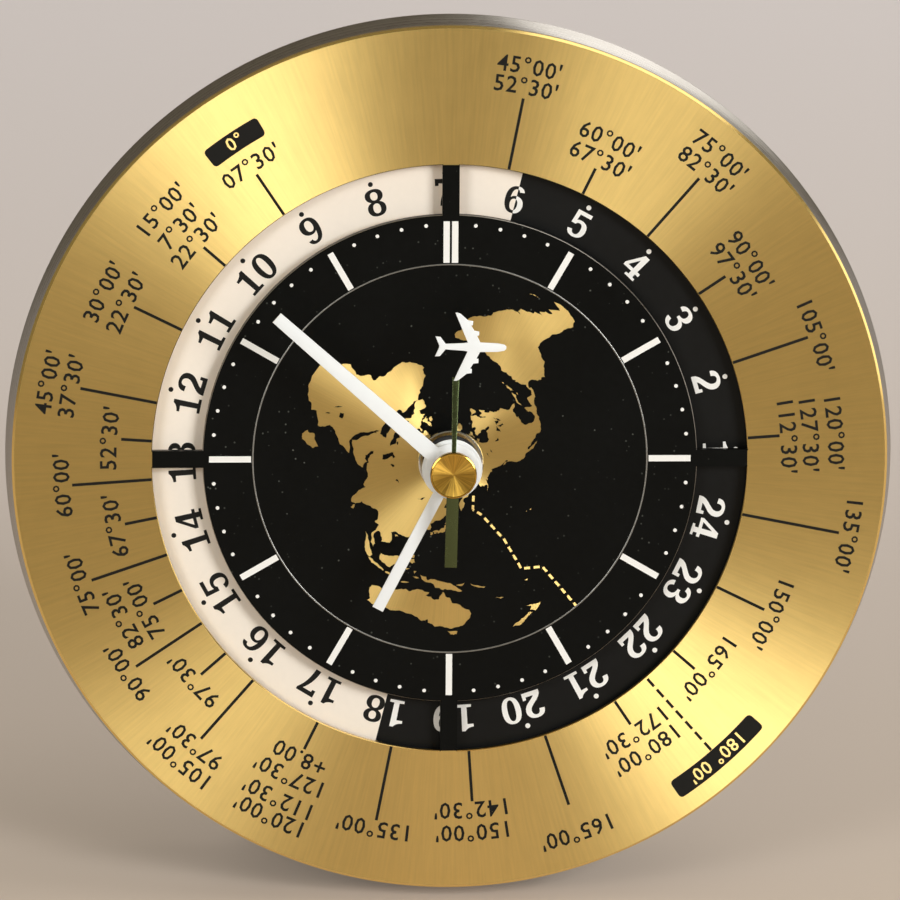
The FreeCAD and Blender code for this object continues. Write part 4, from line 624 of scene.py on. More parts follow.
def ring_tree():
    """Marks at even steps round an axis, some of each group left out."""
    known = bpy.data.node_groups.get("marks_round_a_circle")
    if known:
        return known
    tree = nodes_group("marks_round_a_circle", [
        ("Mark", "NodeSocketObject", None), ("Count", "NodeSocketInt", 12),
        ("Radius", "NodeSocketFloat", 30.0), ("First angle", "NodeSocketFloat", 0.0),
        ("Group", "NodeSocketInt", 1), ("From", "NodeSocketInt", 0),
        ("To", "NodeSocketInt", 1), ("Finish", "NodeSocketMaterial", None)])
    given = add(tree, "NodeGroupInput").node.outputs
    index = add(tree, "GeometryNodeInputIndex")
    share = add(tree, "ShaderNodeMath", {"operation": "DIVIDE"},
                {0: index, 1: given["Count"]})
    lap = add(tree, "ShaderNodeMath", {"operation": "MULTIPLY"}, {0: share, 1: math.tau})
    begin = add(tree, "ShaderNodeMath", {"operation": "RADIANS"},
                {0: given["First angle"]})
    angle = add(tree, "ShaderNodeMath", {"operation": "ADD"}, {0: lap, 1: begin})
    sine = add(tree, "ShaderNodeMath", {"operation": "SINE"}, {0: angle})
    cosine = add(tree, "ShaderNodeMath", {"operation": "COSINE"}, {0: angle})
    x = add(tree, "ShaderNodeMath", {"operation": "MULTIPLY"},
            {0: sine, 1: given["Radius"]})
    z = add(tree, "ShaderNodeMath", {"operation": "MULTIPLY"},
            {0: cosine, 1: given["Radius"]})
    points = add(tree, "GeometryNodePoints", {}, {
        "Count": given["Count"],
        "Position": add(tree, "ShaderNodeCombineXYZ", {}, {"X": x, "Z": z})})
    rank = add(tree, "ShaderNodeMath", {"operation": "MODULO"},
               {0: index, 1: given["Group"]})
    low = add(tree, "FunctionNodeCompare", {"operation": "GREATER_EQUAL"},
              {0: rank, 1: given["From"]})
    high = add(tree, "FunctionNodeCompare", {"operation": "LESS_THAN"},
               {0: rank, 1: given["To"]})
    kept = add(tree, "FunctionNodeBooleanMath", {"operation": "AND"}, {0: low, 1: high})
    return placed_marks(tree, given, points, kept, angle)


def place_tree():
    """A mark at each point, turned and stretched by the point's own attributes."""
    known = bpy.data.node_groups.get("marks_at_points")
    if known:
        return known
    tree = nodes_group("marks_at_points", [
        ("Mark", "NodeSocketObject", None), ("Finish", "NodeSocketMaterial", None)])
    given = add(tree, "NodeGroupInput").node.outputs
    angle = add(tree, "GeometryNodeInputNamedAttribute", {"data_type": "FLOAT"},
                {"Name": "angle"})
    reach = add(tree, "GeometryNodeInputNamedAttribute", {"data_type": "FLOAT"},
                {"Name": "reach"})
    size = add(tree, "ShaderNodeCombineXYZ", {}, {"X": 1.0, "Y": 1.0, "Z": reach})
    return placed_marks(tree, given, given["Geometry"], True, angle, size)


def placed_marks(tree, given, points, kept, angle, size=(1, 1, 1)):
    """Ends a tree: stands the mark on the points, makes it real and gives its finish."""
    mark = add(tree, "GeometryNodeObjectInfo", {"transform_space": "ORIGINAL"},
               {"Object": given["Mark"]}, "Geometry")
    rotation = add(tree, "ShaderNodeCombineXYZ", {}, {"Y": angle})
    copies = add(tree, "GeometryNodeInstanceOnPoints", {}, {
        "Points": points, "Selection": kept, "Instance": mark, "Rotation": rotation,
        "Scale": size})
    real = add(tree, "GeometryNodeRealizeInstances", {}, {"Geometry": copies})
    done = add(tree, "GeometryNodeSetMaterial", {},
               {"Geometry": real, "Material": given["Finish"]})
    add(tree, "NodeGroupOutput", {}, {"Geometry": done})
    return tree


def grown(name, tree, mark, finish, body, base=None, stands_for=(), slot=None, sharp=28,
          **values):
    """Runs a tree of marks and keeps its result as a plain piece. mark is a bmesh."""
    pattern = bpy.data.meshes.new(name + "_mark")
    bmesh.ops.recalc_face_normals(mark, faces=mark.faces[:])
    mark.to_mesh(pattern)
    mark.free()
    one = bpy.data.objects.new(name + "_mark", pattern)
    host = bpy.data.objects.new(name + "_host", base or bpy.data.meshes.new(name + "_base"))
    for thing in (one, host):
        bpy.context.scene.collection.objects.link(thing)
    modifier = host.modifiers.new("marks", "NODES")
    modifier.node_group = tree
    inputs = {"Mark": one, "Finish": finish, **values}
    for item in tree.interface.items_tree:
        if item.in_out == "INPUT" and item.name in inputs:
            modifier[item.identifier] = inputs[item.name]
    host.update_tag()
    bpy.context.view_layer.update()
    seen = host.evaluated_get(bpy.context.evaluated_depsgraph_get())
    made = bpy.data.meshes.new_from_object(seen)
    host.modifiers.clear()
    bm = bmesh.new()
    bm.from_mesh(made)
    for thing in (host, one):
        bpy.data.objects.remove(thing)
    if not bm.faces:
        raise RuntimeError(f"the tree for {name} made nothing")
    for face in bm.faces:
        face.material_index = 0
    return piece(name, bm, [finish], body, stands_for, slot, sharp)


def points_mesh(name, rows):
    """A mesh of bare points for place_tree, from (x, depth, z, angle, reach) rows."""
    mesh = bpy.data.meshes.new(name)
    mesh.from_pydata([row[:3] for row in rows], [], [])
    for column, label in ((3, "angle"), (4, "reach")):
        layer = mesh.attributes.new(label, "FLOAT", "POINT")
        layer.data.foreach_set("value", [row[column] for row in rows])
    return mesh


# ---------------------------------------------------------------- the map

# Coasts as longitude and latitude in degrees, put down from general geography.
# A semicolon ends an outline.
LAND = """
-168 65.6  -166.5 68.3  -163 69.8  -156.7 71.3  -150 70.5  -141 69.6  -135 69.2  -129 70.1
-125 69.5  -120 69.4  -115 68.2  -109 68  -104 68  -98 67.8  -96 68.2  -95.5 69.3
-96.5 71.3  -94.5 71.9  -92.5 70.5  -91.5 69.5  -90 68.7  -87.8 68  -86 67.6  -85.5 69.3
-82.5 69.7  -81.5 68.6  -81.4 67.3  -84 66.3  -86 66  -87.5 64.6  -90 63.8  -93.2 62
-94.6 60.5  -94.7 58.8  -92.7 57  -88.8 56.8  -85.2 55.3  -82.3 55.1  -82.2 53.1  -80.6 51.3
-79 51.5  -78.8 54  -79.6 54.8  -77 56.3  -76.6 57.9  -78.5 58.9  -77.4 60.2  -77.7 61.6
-78 62.4  -75.5 62.3  -73.8 62.4  -71.6 61.2  -69.6 61  -69.5 58.9  -67.8 58.2  -66.2 58.8
-64.6 60.3  -62.5 58.4  -61.6 56.5  -60.1 55.1  -58 54.8  -57.2 53.6  -55.7 52.1  -58.5 51.4
-60 50.2  -66.5 50.2  -69 48.6  -71 47  -68 48.6  -65 49.2  -64.4 48.6  -65.3 47.1
-64.7 46.2  -61.5 45.8  -61 45.3  -63.8 44.5  -65.9 43.5  -66.2 44.4  -67 44.9  -69.5 43.8
-70.8 42.9  -70.1 41.8  -71.5 41.4  -73.9 40.6  -74 39.8  -75.4 39.1  -75.1 38.3  -76 37
-75.6 35.3  -77.8 34  -79.3 33.1  -81 32  -81.4 30.6  -80.5 28.3  -80.1 26.7  -80.4 25.2
-81.7 25.9  -82.7 27.7  -83 29.1  -84.3 30  -85.4 29.7  -88 30.3  -89.4 30.2  -89.3 29.1
-91.3 29.3  -94 29.6  -95.2 28.9  -97.2 27.6  -97.3 25.9  -97.8 22.5  -97.2 20.5  -96 19.1
-94.6 18.2  -92 18.6  -90.7 19.5  -90.4 20.9  -87 21.5  -87.4 19.6  -88.2 18.4  -88.9 15.9
-86 15.9  -83.2 15  -83.5 12.5  -83.6 10.9  -81.5 9  -79.9 9.4  -77.4 8.7  -75.6 10.8
-74.2 11.3  -71.7 12.3  -71.5 11  -70 12.1  -68.2 10.6  -64.8 10.2  -61.9 10.7  -60.9 8.9
-58.4 7  -54.5 5.9  -51.7 4.2  -50 1.7  -50.5 -0.2  -48 -0.8  -44.6 -2.6  -41.5 -2.9
-38.5 -3.7  -35.3 -5.3  -34.9 -7.9  -36.5 -10.7  -38.5 -13  -39.1 -17.5  -40.8 -21.5
-43.3 -23  -46.4 -24.1  -48.6 -26  -49 -28.6  -50.8 -31  -53.4 -34  -56 -34.9  -58.4 -34
-57.2 -35.7  -57.7 -38.2  -62.2 -39  -62.3 -40.8  -65.1 -41  -63.7 -42.6  -65.4 -45
-67.6 -46.1  -65.8 -47.8  -67.8 -50  -69 -51.5  -68.4 -52.6  -66 -54.8  -68 -55.5
-71.8 -54.2  -74.6 -51.8  -75.4 -48  -74.4 -44.5  -73.7 -41.6  -73.5 -38.2  -71.7 -33.5
-71.5 -30  -70.5 -26  -70.3 -19  -71.9 -17.2  -76.3 -13.8  -78.9 -8.4  -81.2 -5.6
-80.2 -3.4  -80.9 -2.1  -80 0.5  -78.8 1.6  -77.4 3.6  -77.4 6.5  -77.9 7.2  -79.5 8.9
-80.4 7.4  -82.9 8.2  -83.7 8.6  -85.7 9.9  -87.6 12.9  -91.4 14  -94 16.1  -96.5 15.7
-99.8 16.7  -102.5 17.9  -105.6 20.3  -105.5 22.3  -108.3 25  -109.4 26.5  -112.2 29
-113.1 31.2  -114.8 31.8  -114.7 30.5  -112.8 28  -110.8 24.9  -109.5 23.1  -110.3 23.6
-112.2 25.6  -114.2 27.1  -114.9 27.8  -115.8 30  -117.1 32.5  -118.4 34  -120.6 34.6
-122.4 37.2  -123.8 39.3  -124.4 40.4  -124.2 43  -123.9 46.2  -124.7 48.4  -122.5 47.5
-122.8 49  -125.5 50.5  -127.8 52  -130.2 54.5  -131.5 55.6  -133.5 57.7  -135.5 59.2
-137.8 58.5  -140 59.8  -144 60.1  -148.5 60.3  -151.7 59.2  -151.8 60.9  -154 59.2
-156.5 57.3  -160 55.8  -164.5 54.7  -160.5 56.1  -157.6 57.7  -158.8 58.6  -162 58.7
-162 60  -165.3 60.6  -164.6 62.9  -161 64.3  -164 64.5;  -73 78.2  -69 76.1  -61 76
-56 73.2  -54.5 70.7  -53.5 67.8  -52.3 64.7  -50 62  -48 60.9  -44 60  -42.5 62.5  -40.3 65
-36.5 66  -32 68.1  -25.5 70.4  -22 71.5  -21.5 74  -19.2 76.5  -18 80  -12.5 81.5  -22 82.3
-32 83.6  -45 82.5  -60 82  -66 80.7  -65.5 79.3;  -24.3 65.6  -22.5 66.4  -20.3 65.8
-18 66.2  -15 66.2  -13.7 65  -15.8 64.1  -18.8 63.4  -22.7 63.9  -22 64.8;  -90 76.5
-80 76.2  -78 77.5  -75.5 78.9  -70 80  -62 82.4  -75 83.1  -88 82.2  -92 81.2  -87 79.8
-86 78.5  -88 77.8;  -96 80  -93 80.9  -89.5 80.3  -90 79  -94 78.6;  -96 76.8  -90 76
-80 75.7  -80 74.6  -91.5 74.7;  -90 73.6  -85 73.8  -80 73.7  -76 72.8  -71 71.4
-67.5 69.3  -67 68  -62 66.8  -64 65.2  -67.5 66.3  -65 63  -68 62.7  -72 64.5  -77.5 64.4
-73 65.5  -73 68  -79 70  -85 70  -89 71.3  -88.5 72.8;  -116 69.3  -105.5 69.1  -101.8 69.6
-105 71.5  -105 73  -110 72.8  -117.5 73  -119 71.6  -117.5 70.5  -113 70.3;  -125 72
-123.5 73.8  -121 74.4  -116 73.3  -121 71.4;  -117 75.4  -110 74.9  -106 75  -106 76
-113 76.1;  -102 72  -97 71.8  -96.5 73.6  -100.5 73.8;  -95.5 72.3  -90.5 72.9  -91 74
-95 74;  -110 78  -104 79.2  -100 78.5  -106 77.6;  -87 65.5  -81 64  -84 62.9  -87 64;
-59.3 47.7  -55.6 46.9  -53 46.7  -53 48.4  -55.6 49.9  -56 51.5  -57.9 49.5;  -84.8 21.9
-82.5 23  -80 22.9  -77 21.6  -74.3 20.2  -77.6 19.9  -78.3 21  -81.8 22.3;  -74.4 18.4
-73 19.9  -70 19.7  -68.4 18.6  -70.5 18.3  -72.3 18.2;  -78.3 18.5  -76.3 18.2  -77.2 17.7;
-67.3 18.6  -65.6 18.4  -66.5 17.8;  -61.4 -51.6  -58 -51.3  -59.5 -52.3;  -128.2 50.9
-125 50  -123.5 48.5  -125.4 48.8;  -156 20.4  -154.8 19.6  -155.8 18.9;  -158.4 21.7
-157.6 21.5  -158 21.1;  25.8 71.1  31 70.2  33.5 69.3  41 67.7  40 66.2  34.5 66.6  32.5 67
34.5 65  35 64.4  38 63.9  37.2 65  40 64.6  40 65.8  43.8 66.3  43.5 68.6  46 67.8  46 66.8
53.5 68.5  54.5 68.2  60.5 69.8  60.5 68.8  64.5 69.3  68 68.2  67 69.5  67 71.2  69 72.8
72.7 72.8  72.5 71.2  73.7 68.4  71.5 66.3  74 67  77 68  74.5 70.5  74.5 72.8  80.5 73.6
86 74  87 75  98 76.1  104.3 77.7  113 76  113.5 73.8  109 73.6  119 73  123.5 73.1
127 72.5  129 71  133 71.5  139.5 72.3  141 72.8  150 71.6  153 70.9  160 69.7  161 69.4
170 69  170.5 70  176 69.7  180 69  185 67.2  190.2 66  187.5 64.3  181 65.9  177.3 64.7
179.5 62.5  174 61.8  170.3 60  166 60.2  163.5 59.8  162 58  163.3 56.1  162 55  160 53.2
158.5 52.8  156.7 51  155.6 55.5  156.8 57.7  161.9 60.3  164 62.5  160 61.8  156.7 61.6
154 59.5  149 59.5  143 59.3  137 54  141 53.3  140.2 48.5  135.5 44  131.9 43.1  130.6 42.4
129.7 41  127.5 39.5  129.4 37  129.2 35.2  126.5 34.4  126.6 37  124.7 38.1  125.2 39.6
121.6 39  122 40.7  118 39.2  118.9 37.4  122.5 37.3  119.3 35  121.9 31.7  121.9 29
119.5 25.4  117 23.6  114 22.4  110.5 21.3  109.5 21.6  108 21.5  105.8 19  108.9 15.3
109.3 12  107 10.4  105 8.7  105 10  102.5 12  101 13.5  100 13.3  99.3 11  99.3 9.2
100.6 7  103.4 4.5  103.8 1.4  101.3 2.9  100.3 5.8  98.3 8  98.6 12  97.6 16.5  95.3 15.8
94.2 16  94.5 18.5  92 21.5  90.5 22.5  88 21.7  86.5 20  82.3 16.6  80.2 15.3  80.2 12.5
79.8 10.3  78 8.1  76.5 8.9  74.8 13  73.4 16  72.8 19.5  72.6 21.8  70.5 20.9  69 22.3
67 24.8  66.5 25.4  61.6 25.2  57.2 25.8  56.5 27.1  54 26.6  51.5 27.9  50 30.2  48 30
48.5 28  50.2 26.6  51.5 25.6  51.5 24.4  54 24.1  56.3 26.2  56.6 24.3  59.8 22.5  57.8 19
55 17  52.2 15.7  45 12.8  43.4 12.7  42.7 16.6  39.1 21.3  37.2 24.8  35 28  34.9 29.5
34.3 27.8  32.6 30  32.3 31.2  34.3 31.4  35.8 35  36 36.8  32.5 36.1  30.6 36.8  27.4 36.8
26.3 39.4  26.2 40.2  23.7 40.5  23 39.3  24 38  23 36.6  21.7 36.9  21 38.5  19.4 41.3
19 42  16.3 43.6  14 45.2  12.4 45.3  12.5 44.2  14.2 42.4  16.1 41.7  18.5 40.1  16.9 40.5
17.1 39  15.7 38  15.7 40  12.3 41.7  10.3 43.5  8.8 44.4  6.6 43.2  3.2 43.2  3.2 42
0.3 40.3  -0.2 38.8  -0.8 37.7  -2.2 36.7  -5.4 36.1  -6.3 36.7  -8.9 37  -9.4 38.7  -8.8 41
-9.2 43.1  -7.9 43.8  -1.8 43.4  -1.1 45.9  -2.3 47.3  -4.7 48.1  -1.6 48.7  -1.8 49.7
0.1 49.5  1.6 50.8  3.8 51.5  4.8 53  8.5 53.8  8.2 56.8  10.5 57.6  10.8 56.3  9.8 54.9
11 54  14.2 54  18.5 54.7  21.1 55.8  21.1 57  24.2 57.2  23.5 59.2  29.8 59.9  25 60.3
22.8 59.9  21.3 61  21.5 63  25.4 65  24 65.8  22 65.5  21.3 64  17.5 62  17.2 60.6
18.8 59.7  16.6 58.4  16.3 56.6  14.2 55.5  12.9 55.5  11.2 58.8  10.6 59.3  8 58.1
5.5 58.8  5 61.8  8.5 63.6  12.5 66  15 68.3  19 69.8;  -5.5 50.1  -3.5 50.4  1.3 51.2
1.7 52.6  0.2 53  -1.5 55  -2 57.6  -3.9 57.6  -3.1 58.6  -5 58.5  -5.7 56.5  -4.8 54.8
-3 54.2  -3 53.4  -4.5 53  -4.2 52.3  -5.1 51.8  -3 51.4;  -10 51.7  -6.3 52.2  -6 53.5
-5.6 54.6  -7.3 55.3  -10 54.2  -9.3 53.2;  11 79.5  16 80  25 80.3  22 78.3  17 76.7
14 78;  52 71.2  55.5 73.3  59 75.5  68 77  66 76  59 74  57 71  54.5 70.6;  95 79.2  97 81
103 79.3  105 78.3  100 78;  47 80.3  60 81.3  62 80.5  52 80;  138 75.8  145 75.6  150 75
143 73.7  139 74.6;  179 71.3  182 71.5  181.5 70.8;  142.7 54.3  143.2 52  144.5 49  143 49
143.4 46.8  142 46  142 51;  140 41.5  141 43  141.8 45.4  145.3 44.2  143.2 42;  130.9 34
133 35.6  136 35.7  137 37.4  139.5 38.5  140 40.5  141.3 41.3  142 39.5  140.9 37.5
140.8 35.7  138.8 34.7  136.9 34.6  135.7 33.5  135 34.6  132.3 34;  129.7 33.3  131.7 33.6
131.4 31.4  130.3 31.2;  132.5 34  134.6 34.2  134.2 33.3  132.9 32.8;  121.6 25.3  121 21.9
120 23;  108.6 19.3  110 20.1  111 19.7  109.6 18.2;  120.6 18.5  122.2 18.4  121.5 15.5
124 13  123.3 13  120.6 14  120 16;  122.2 7  123.5 8.7  125.5 9.8  126.5 7.5  125.5 6
124 6.6;  122 11.8  125 12.4  125.2 10.4  123 9.3;  117 8.3  119.4 11.3  119 10;  109 1.7
111.5 2.5  113 3.2  115 5  117 7  119.2 5.2  117.9 3.5  118.9 1  117.5 0  116.3 -3.8
114.5 -4  111.8 -3.4  110.2 -2.9  109.1 -0.3;  95.3 5.6  97.5 5.2  100.5 2.6  103.5 -1
106 -3.2  105.8 -5.8  104 -5.6  101 -2.9  98.8 1.5;  105.2 -6.8  106.2 -6  108.5 -6.7
110.8 -6.4  112.7 -7  114.4 -7.8  114.4 -8.8  110 -8.2  106.4 -7.5;  115.4 -8.2  119 -8.2
123 -8.2  119 -9.2  115.6 -9;  123.5 -10.4  127.2 -8.3  125 -8.8;  119.4 -5.6  118.8 -3
119.9 0.9  123.5 1  125.3 1.7  124 0.1  120.4 0.2  121.3 -0.9  123.5 -0.9  121.6 -2
122.9 -4.4  121.5 -4.7  121 -2.8  120.5 -5.6;  127.4 1  128.8 1.5  128.1 -0.9;  127.8 -3.1
130.9 -3.1  129 -3.8;  131 -0.6  134 -0.8  135 -3.3  138 -1.6  144.5 -3.8  147.8 -6
150.8 -10.3  147 -9.5  143.5 -8.4  142.5 -9.3  139 -8.1  138 -5.5  133 -4  132 -2.8;
148.3 -5.6  152.2 -4  151 -6.3;  154.8 -5.4  161.2 -10  160.5 -10.6  156 -7.4;  163.8 -20
167 -22.2  165.6 -22.4;  177.2 -17.3  178.8 -17.6  178.2 -18.4;  142.5 -10.7  143.8 -14.4
145.4 -15  146.3 -19  149 -20.3  150.8 -23.3  153 -25.5  153.5 -28.5  152.5 -32.3  150 -37
147.5 -38  146.3 -39  144 -38.1  140.5 -38  139.7 -36.3  138 -35.6  137.8 -33  135.8 -34.8
134 -32.5  131 -31.5  126 -32.3  124 -33.5  120 -33.9  118 -35  115.1 -34.3  115.7 -31.7
114 -27.5  113.5 -25  113.7 -22.5  116.8 -20.6  119.5 -20  122.2 -18  123.5 -17  125 -15
126.8 -14  128.3 -15  130 -13  132.6 -11.5  136.8 -12.2  135.6 -14.9  139.3 -17.4  141 -16.8
141.6 -13.5;  144.7 -40.8  148.2 -40.9  147.9 -43.2  146 -43.5;  172.8 -34.4  175.5 -36.5
178.4 -37.8  176.9 -40  175.2 -41.6  173.7 -39.3  174.7 -37.5;  172.8 -40.5  174.3 -41.5
171.2 -44.3  169 -46.7  166.3 -46  168.5 -44  171.3 -42;  79.7 8.5  80.2 9.8  81.9 7.5
80.6 5.9;  49.3 -12  50.4 -15.8  47.2 -24.8  45.2 -25.5  43.4 -22  44.4 -20  44.2 -16.5
46.5 -15.6;  32.3 31.2  29 30.9  25.2 31.6  23 32.4  20 31  19.6 30.4  15.2 32.3  11.2 33.2
10.3 34.4  11 36.9  5 36.8  -2 35.2  -5.4 35.9  -6.5 34.2  -9.7 31.5  -9.8 29.6  -13 27.8
-17 21  -16.3 19  -16.4 16  -17.5 14.7  -16.7 12.4  -13.3 9  -11 6.7  -7.6 4.4  -3 5  1 5.9
4.4 6.4  5.8 4.4  8.6 4.7  9.7 3.5  9.4 1  8.8 -0.8  12 -5  13.3 -8.8  12.5 -13.4
11.8 -17.5  14.4 -22.5  15.2 -27  17.9 -32  18.5 -34.2  20 -34.8  25.6 -34  28.5 -32.5
32.6 -28.3  32.9 -26  35.4 -24  35 -20  40.6 -15.5  40.4 -10.5  39 -7  39.7 -4  42 -1  47 4
51.2 11.8  44.5 10.5  43.2 11.6  39.3 15.6  37.2 19.5  35.5 24  33 28  32.6 30
"""

# Inland seas and lakes, which are black again.
WATER = """
28 42  29 41.3  33.5 42  36 41.4  41.5 41.6  39 44  37.5 45.3  36.5 45.3  33.6 44.5  31 46.5
28.7 44.5;  35 46.1  37.5 47.1  39 46.6  37 45.6;  47 45  51.5 47  53 45.3  50.5 44.5
53.5 41  54 37.3  50 37.5  49 40.4  47.6 43;  58.3 44.3  60.5 46.6  61.5 45  59 43.4;
103.8 51.3  107 53  109.9 55.8  108.5 52.6;  73.8 46.2  79 47  74.5 45;  30.5 60.3  32 61.5
33 60.3;  34.3 61.2  36 62.2  36 60.8;  31.6 0.1  34.2 0.5  34 -2.4  32 -2.7;  29 -3.3
30.2 -6  31.2 -8.8  29.6 -6.4;  33.9 -9.4  35.2 -14.4  34.1 -12;  -92.3 46.6  -88.5 48.8
-84.8 46.9  -88 46.7;  -87.7 41.7  -88.1 44.5  -85.3 46.1  -86.3 43.8  -86.5 41.9;
-84.2 46.1  -80 45.4  -81.6 43.2  -82.7 43.1  -83.6 44  -83.2 45.4;  -83.4 41.5  -79 43
-81.9 42.9;  -79.8 43.2  -76.2 44.2  -77.6 43.8;  -99 50.7  -96.4 50.6  -98.2 53.9
-99.3 52.4;  -117 60.9  -109.3 63  -113 62.6;  -125 66  -117.7 65.6  -120.5 67.2;
-111.3 58.6  -106 59.6  -109.4 59.7
"""

# The date line, as bare dashes in the lacquer: clockwise angle and radius on the face.
DATE_LINE = [(139.6, 28.6), (139.6, 20.6), (147.3, 19.0), (146.4, 14.0), (151.0, 9.1),
             (156.5, 7.8), (147.0, 5.9)]
DASH, DASH_GAP, DASH_HALF = 0.88, 0.52, 0.19    # length, gap and half width, in mm


def coasts(text, seed):
    """The outlines in a table, on the face, with their stretches broken up a little."""
    chance = random.Random(seed)
    for outline in text.split(";"):
        values = [float(v) for v in outline.split()]
        loop = [polar((90 - lat) * POLE_SCALE, MERIDIAN_ANGLE - lon)
                for lon, lat in zip(values[::2], values[1::2])]
        loop = [(x + MAP_MIDDLE[0], z + MAP_MIDDLE[1]) for x, z in loop]
        for _ in range(2):
            finer = []
            for a, b in zip(loop, loop[1:] + loop[:1]):
                finer.append(a)
                run = math.dist(a, b)
                if run > 0.32:
                    off = chance.uniform(-0.13, 0.13) * min(run, 1.2)
                    finer.append(((a[0] + b[0]) / 2 - (b[1] - a[1]) / run * off,
                                  (a[1] + b[1]) / 2 + (b[0] - a[0]) / run * off))
            loop = finer
        yield loop


def dashes(path, dash, gap, half):
    """Outlines of the dashes along a path of points on the face."""
    made, left, on = [], dash, True
    for a, b in zip(path, path[1:]):
        place, run = 0.0, math.dist(a, b)
        heading = ((b[0] - a[0]) / run, (b[1] - a[1]) / run)
        start = a
        while place < run - 1e-6:
            step = min(left, run - place)
            place += step
            left -= step
            end = (a[0] + heading[0] * place, a[1] + heading[1] * place)
            if on and (left < 1e-6 or place > run - 1e-6) and math.dist(start, end) > 0.15:
                made.append(strip(start, end, half))
            if left < 1e-6:
                on = not on
                left = dash if on else gap
            start = end
    return made


# Hour figures, a bold slab face: M, L, C and Z as on a plotter, 100 units high.
FIGURES = {
    "0": "M32 101C51 101 61 82 61 50C61 18 51 -1 32 -1C13 -1 3 18 3 50C3 82 13 101 32 101Z"
         "M32 90C24 90 20 76 20 50C20 24 24 10 32 10C40 10 44 24 44 50C44 76 40 90 32 90Z",
    "1": "M9 0L55 0L55 10L41 11L41 100L31 100C27 91 18 85 6 84L6 74L24 74L24 11L9 10Z",
    "2": "M3 0L60 0L60 27L50 27L49 16L25 16C31 31 60 40 60 70C60 89 48 101 31 101"
         "C14 101 3 90 3 72L19 70C19 82 23 89 30 89C38 89 43 82 43 70C43 48 3 34 3 6Z",
    "3": "M3 25C4 9 15 -1 31 -1C49 -1 61 10 61 28C61 41 54 50 43 53C53 57 58 65 58 75"
         "C58 91 46 101 30 101C15 101 5 92 4 77L19 75C20 84 24 90 30 90C37 90 41 84 41 74"
         "C41 63 35 58 23 58L23 47C36 47 44 41 44 28C44 17 39 10 31 10C24 10 19 17 18 27Z",
    "4": "M36 100L52 100L52 36L64 36L64 24L52 24L52 10L62 9L62 0L25 0L25 9L35 10L35 24"
         "L2 24L2 36ZM35 36L35 76L14 36Z",
    "5": "M9 100L55 100L55 85L21 85L19 62C23 65 28 66 33 66C49 66 60 53 60 33"
         "C60 12 48 -1 30 -1C15 -1 5 7 3 22L18 24C19 16 23 10 30 10C39 10 43 19 43 32"
         "C43 46 39 54 31 54C25 54 22 51 20 46L6 47Z",
    "6": "M57 82C55 94 46 101 35 101C14 101 3 80 3 47C3 17 13 -1 32 -1C50 -1 61 12 61 32"
         "C61 51 50 64 35 64C28 64 22 61 19 56C20 78 26 90 35 90C39 90 42 86 43 80Z"
         "M20 34C20 46 25 53 32 53C39 53 44 46 44 32C44 18 40 10 32 10C25 10 20 19 20 34Z",
    "7": "M3 100L58 100L58 90C44 66 37 38 35 0L17 0C19 34 29 62 42 83L14 83L13 74L3 74Z",
    "8": "M32 101C49 101 59 91 59 76C59 66 54 58 45 53C56 48 61 39 61 28C61 10 50 -1 32 -1"
         "C14 -1 3 10 3 28C3 39 8 48 19 53C10 58 5 66 5 76C5 91 15 101 32 101Z"
         "M32 90C25 90 21 84 21 75C21 65 25 59 32 59C39 59 43 65 43 75C43 84 39 90 32 90Z"
         "M32 47C24 47 20 39 20 28C20 17 24 10 32 10C40 10 44 17 44 28C44 39 40 47 32 47Z",
}


def figure_loops(digit):
    """The closed outlines of one figure, 100 units high, and its width."""
    if digit == "9":
        loops, _ = figure_loops("6")
        return [[(64 - x, 100 - z) for x, z in loop] for loop in loops], 64
    loops, letters = [], FIGURES[digit].replace("M", " M ").replace("L", " L ")
    words = letters.replace("C", " C ").replace("Z", " Z ").split()
    i, kind, here = 0, "", None
    while i < len(words):
        if words[i] in "MLCZ":
            kind = words[i]
            i += 1
            if kind == "M":
                loops.append([])
            continue
        count = 6 if kind == "C" else 2
        values = [float(v) for v in words[i:i + count]]
        i += count
        ends = [Vector(values[k:k + 2]) for k in range(0, count, 2)]
        if kind == "C":
            for step in range(1, 8):
                t = step / 7
                at = (here * (1 - t) ** 3 + ends[0] * 3 * t * (1 - t) ** 2
                      + ends[1] * 3 * t * t * (1 - t) + ends[2] * t ** 3)
                loops[-1].append(tuple(at))
        else:
            loops[-1].append(tuple(ends[0]))
        here = ends[-1]
    for loop in loops:
        if math.dist(loop[0], loop[-1]) < 1e-6:
            loop.pop()
    return loops, {"1": 60, "4": 66}.get(digit, 64)


# ---------------------------------------------------------------- dial

def window_loop(quarter, grow=0.0):
    """Outline of one curved window, its edges moved outwards by grow."""
    low, high, half = WINDOW_IN - grow, WINDOW_OUT + grow, BRIDGE_HALF - grow
    inner = math.degrees(math.asin(half / low))
    outer = math.degrees(math.asin(half / high))
    count = 60              # steps along each long side
    points = [polar(high, outer + (90 - 2 * outer) * i / count) for i in range(count + 1)]
    points += [polar(low, 90 - inner - (90 - 2 * inner) * i / count)
               for i in range(count + 1)]
    return turned(points, 90 * quarter)


def field_loop():
    """Outline of the black field: a disc with the four bridges on it."""
    points = []
    for quarter in range(4):
        inner = math.degrees(math.asin(BRIDGE_HALF / WINDOW_IN))
        middle = 90 * quarter
        points += turned([(-BRIDGE_HALF, WINDOW_OUT - 0.02),
                          (BRIDGE_HALF, WINDOW_OUT - 0.02)], middle)
        points += arc(WINDOW_IN - 0.09, middle + inner, middle + 90 - inner)
    return points


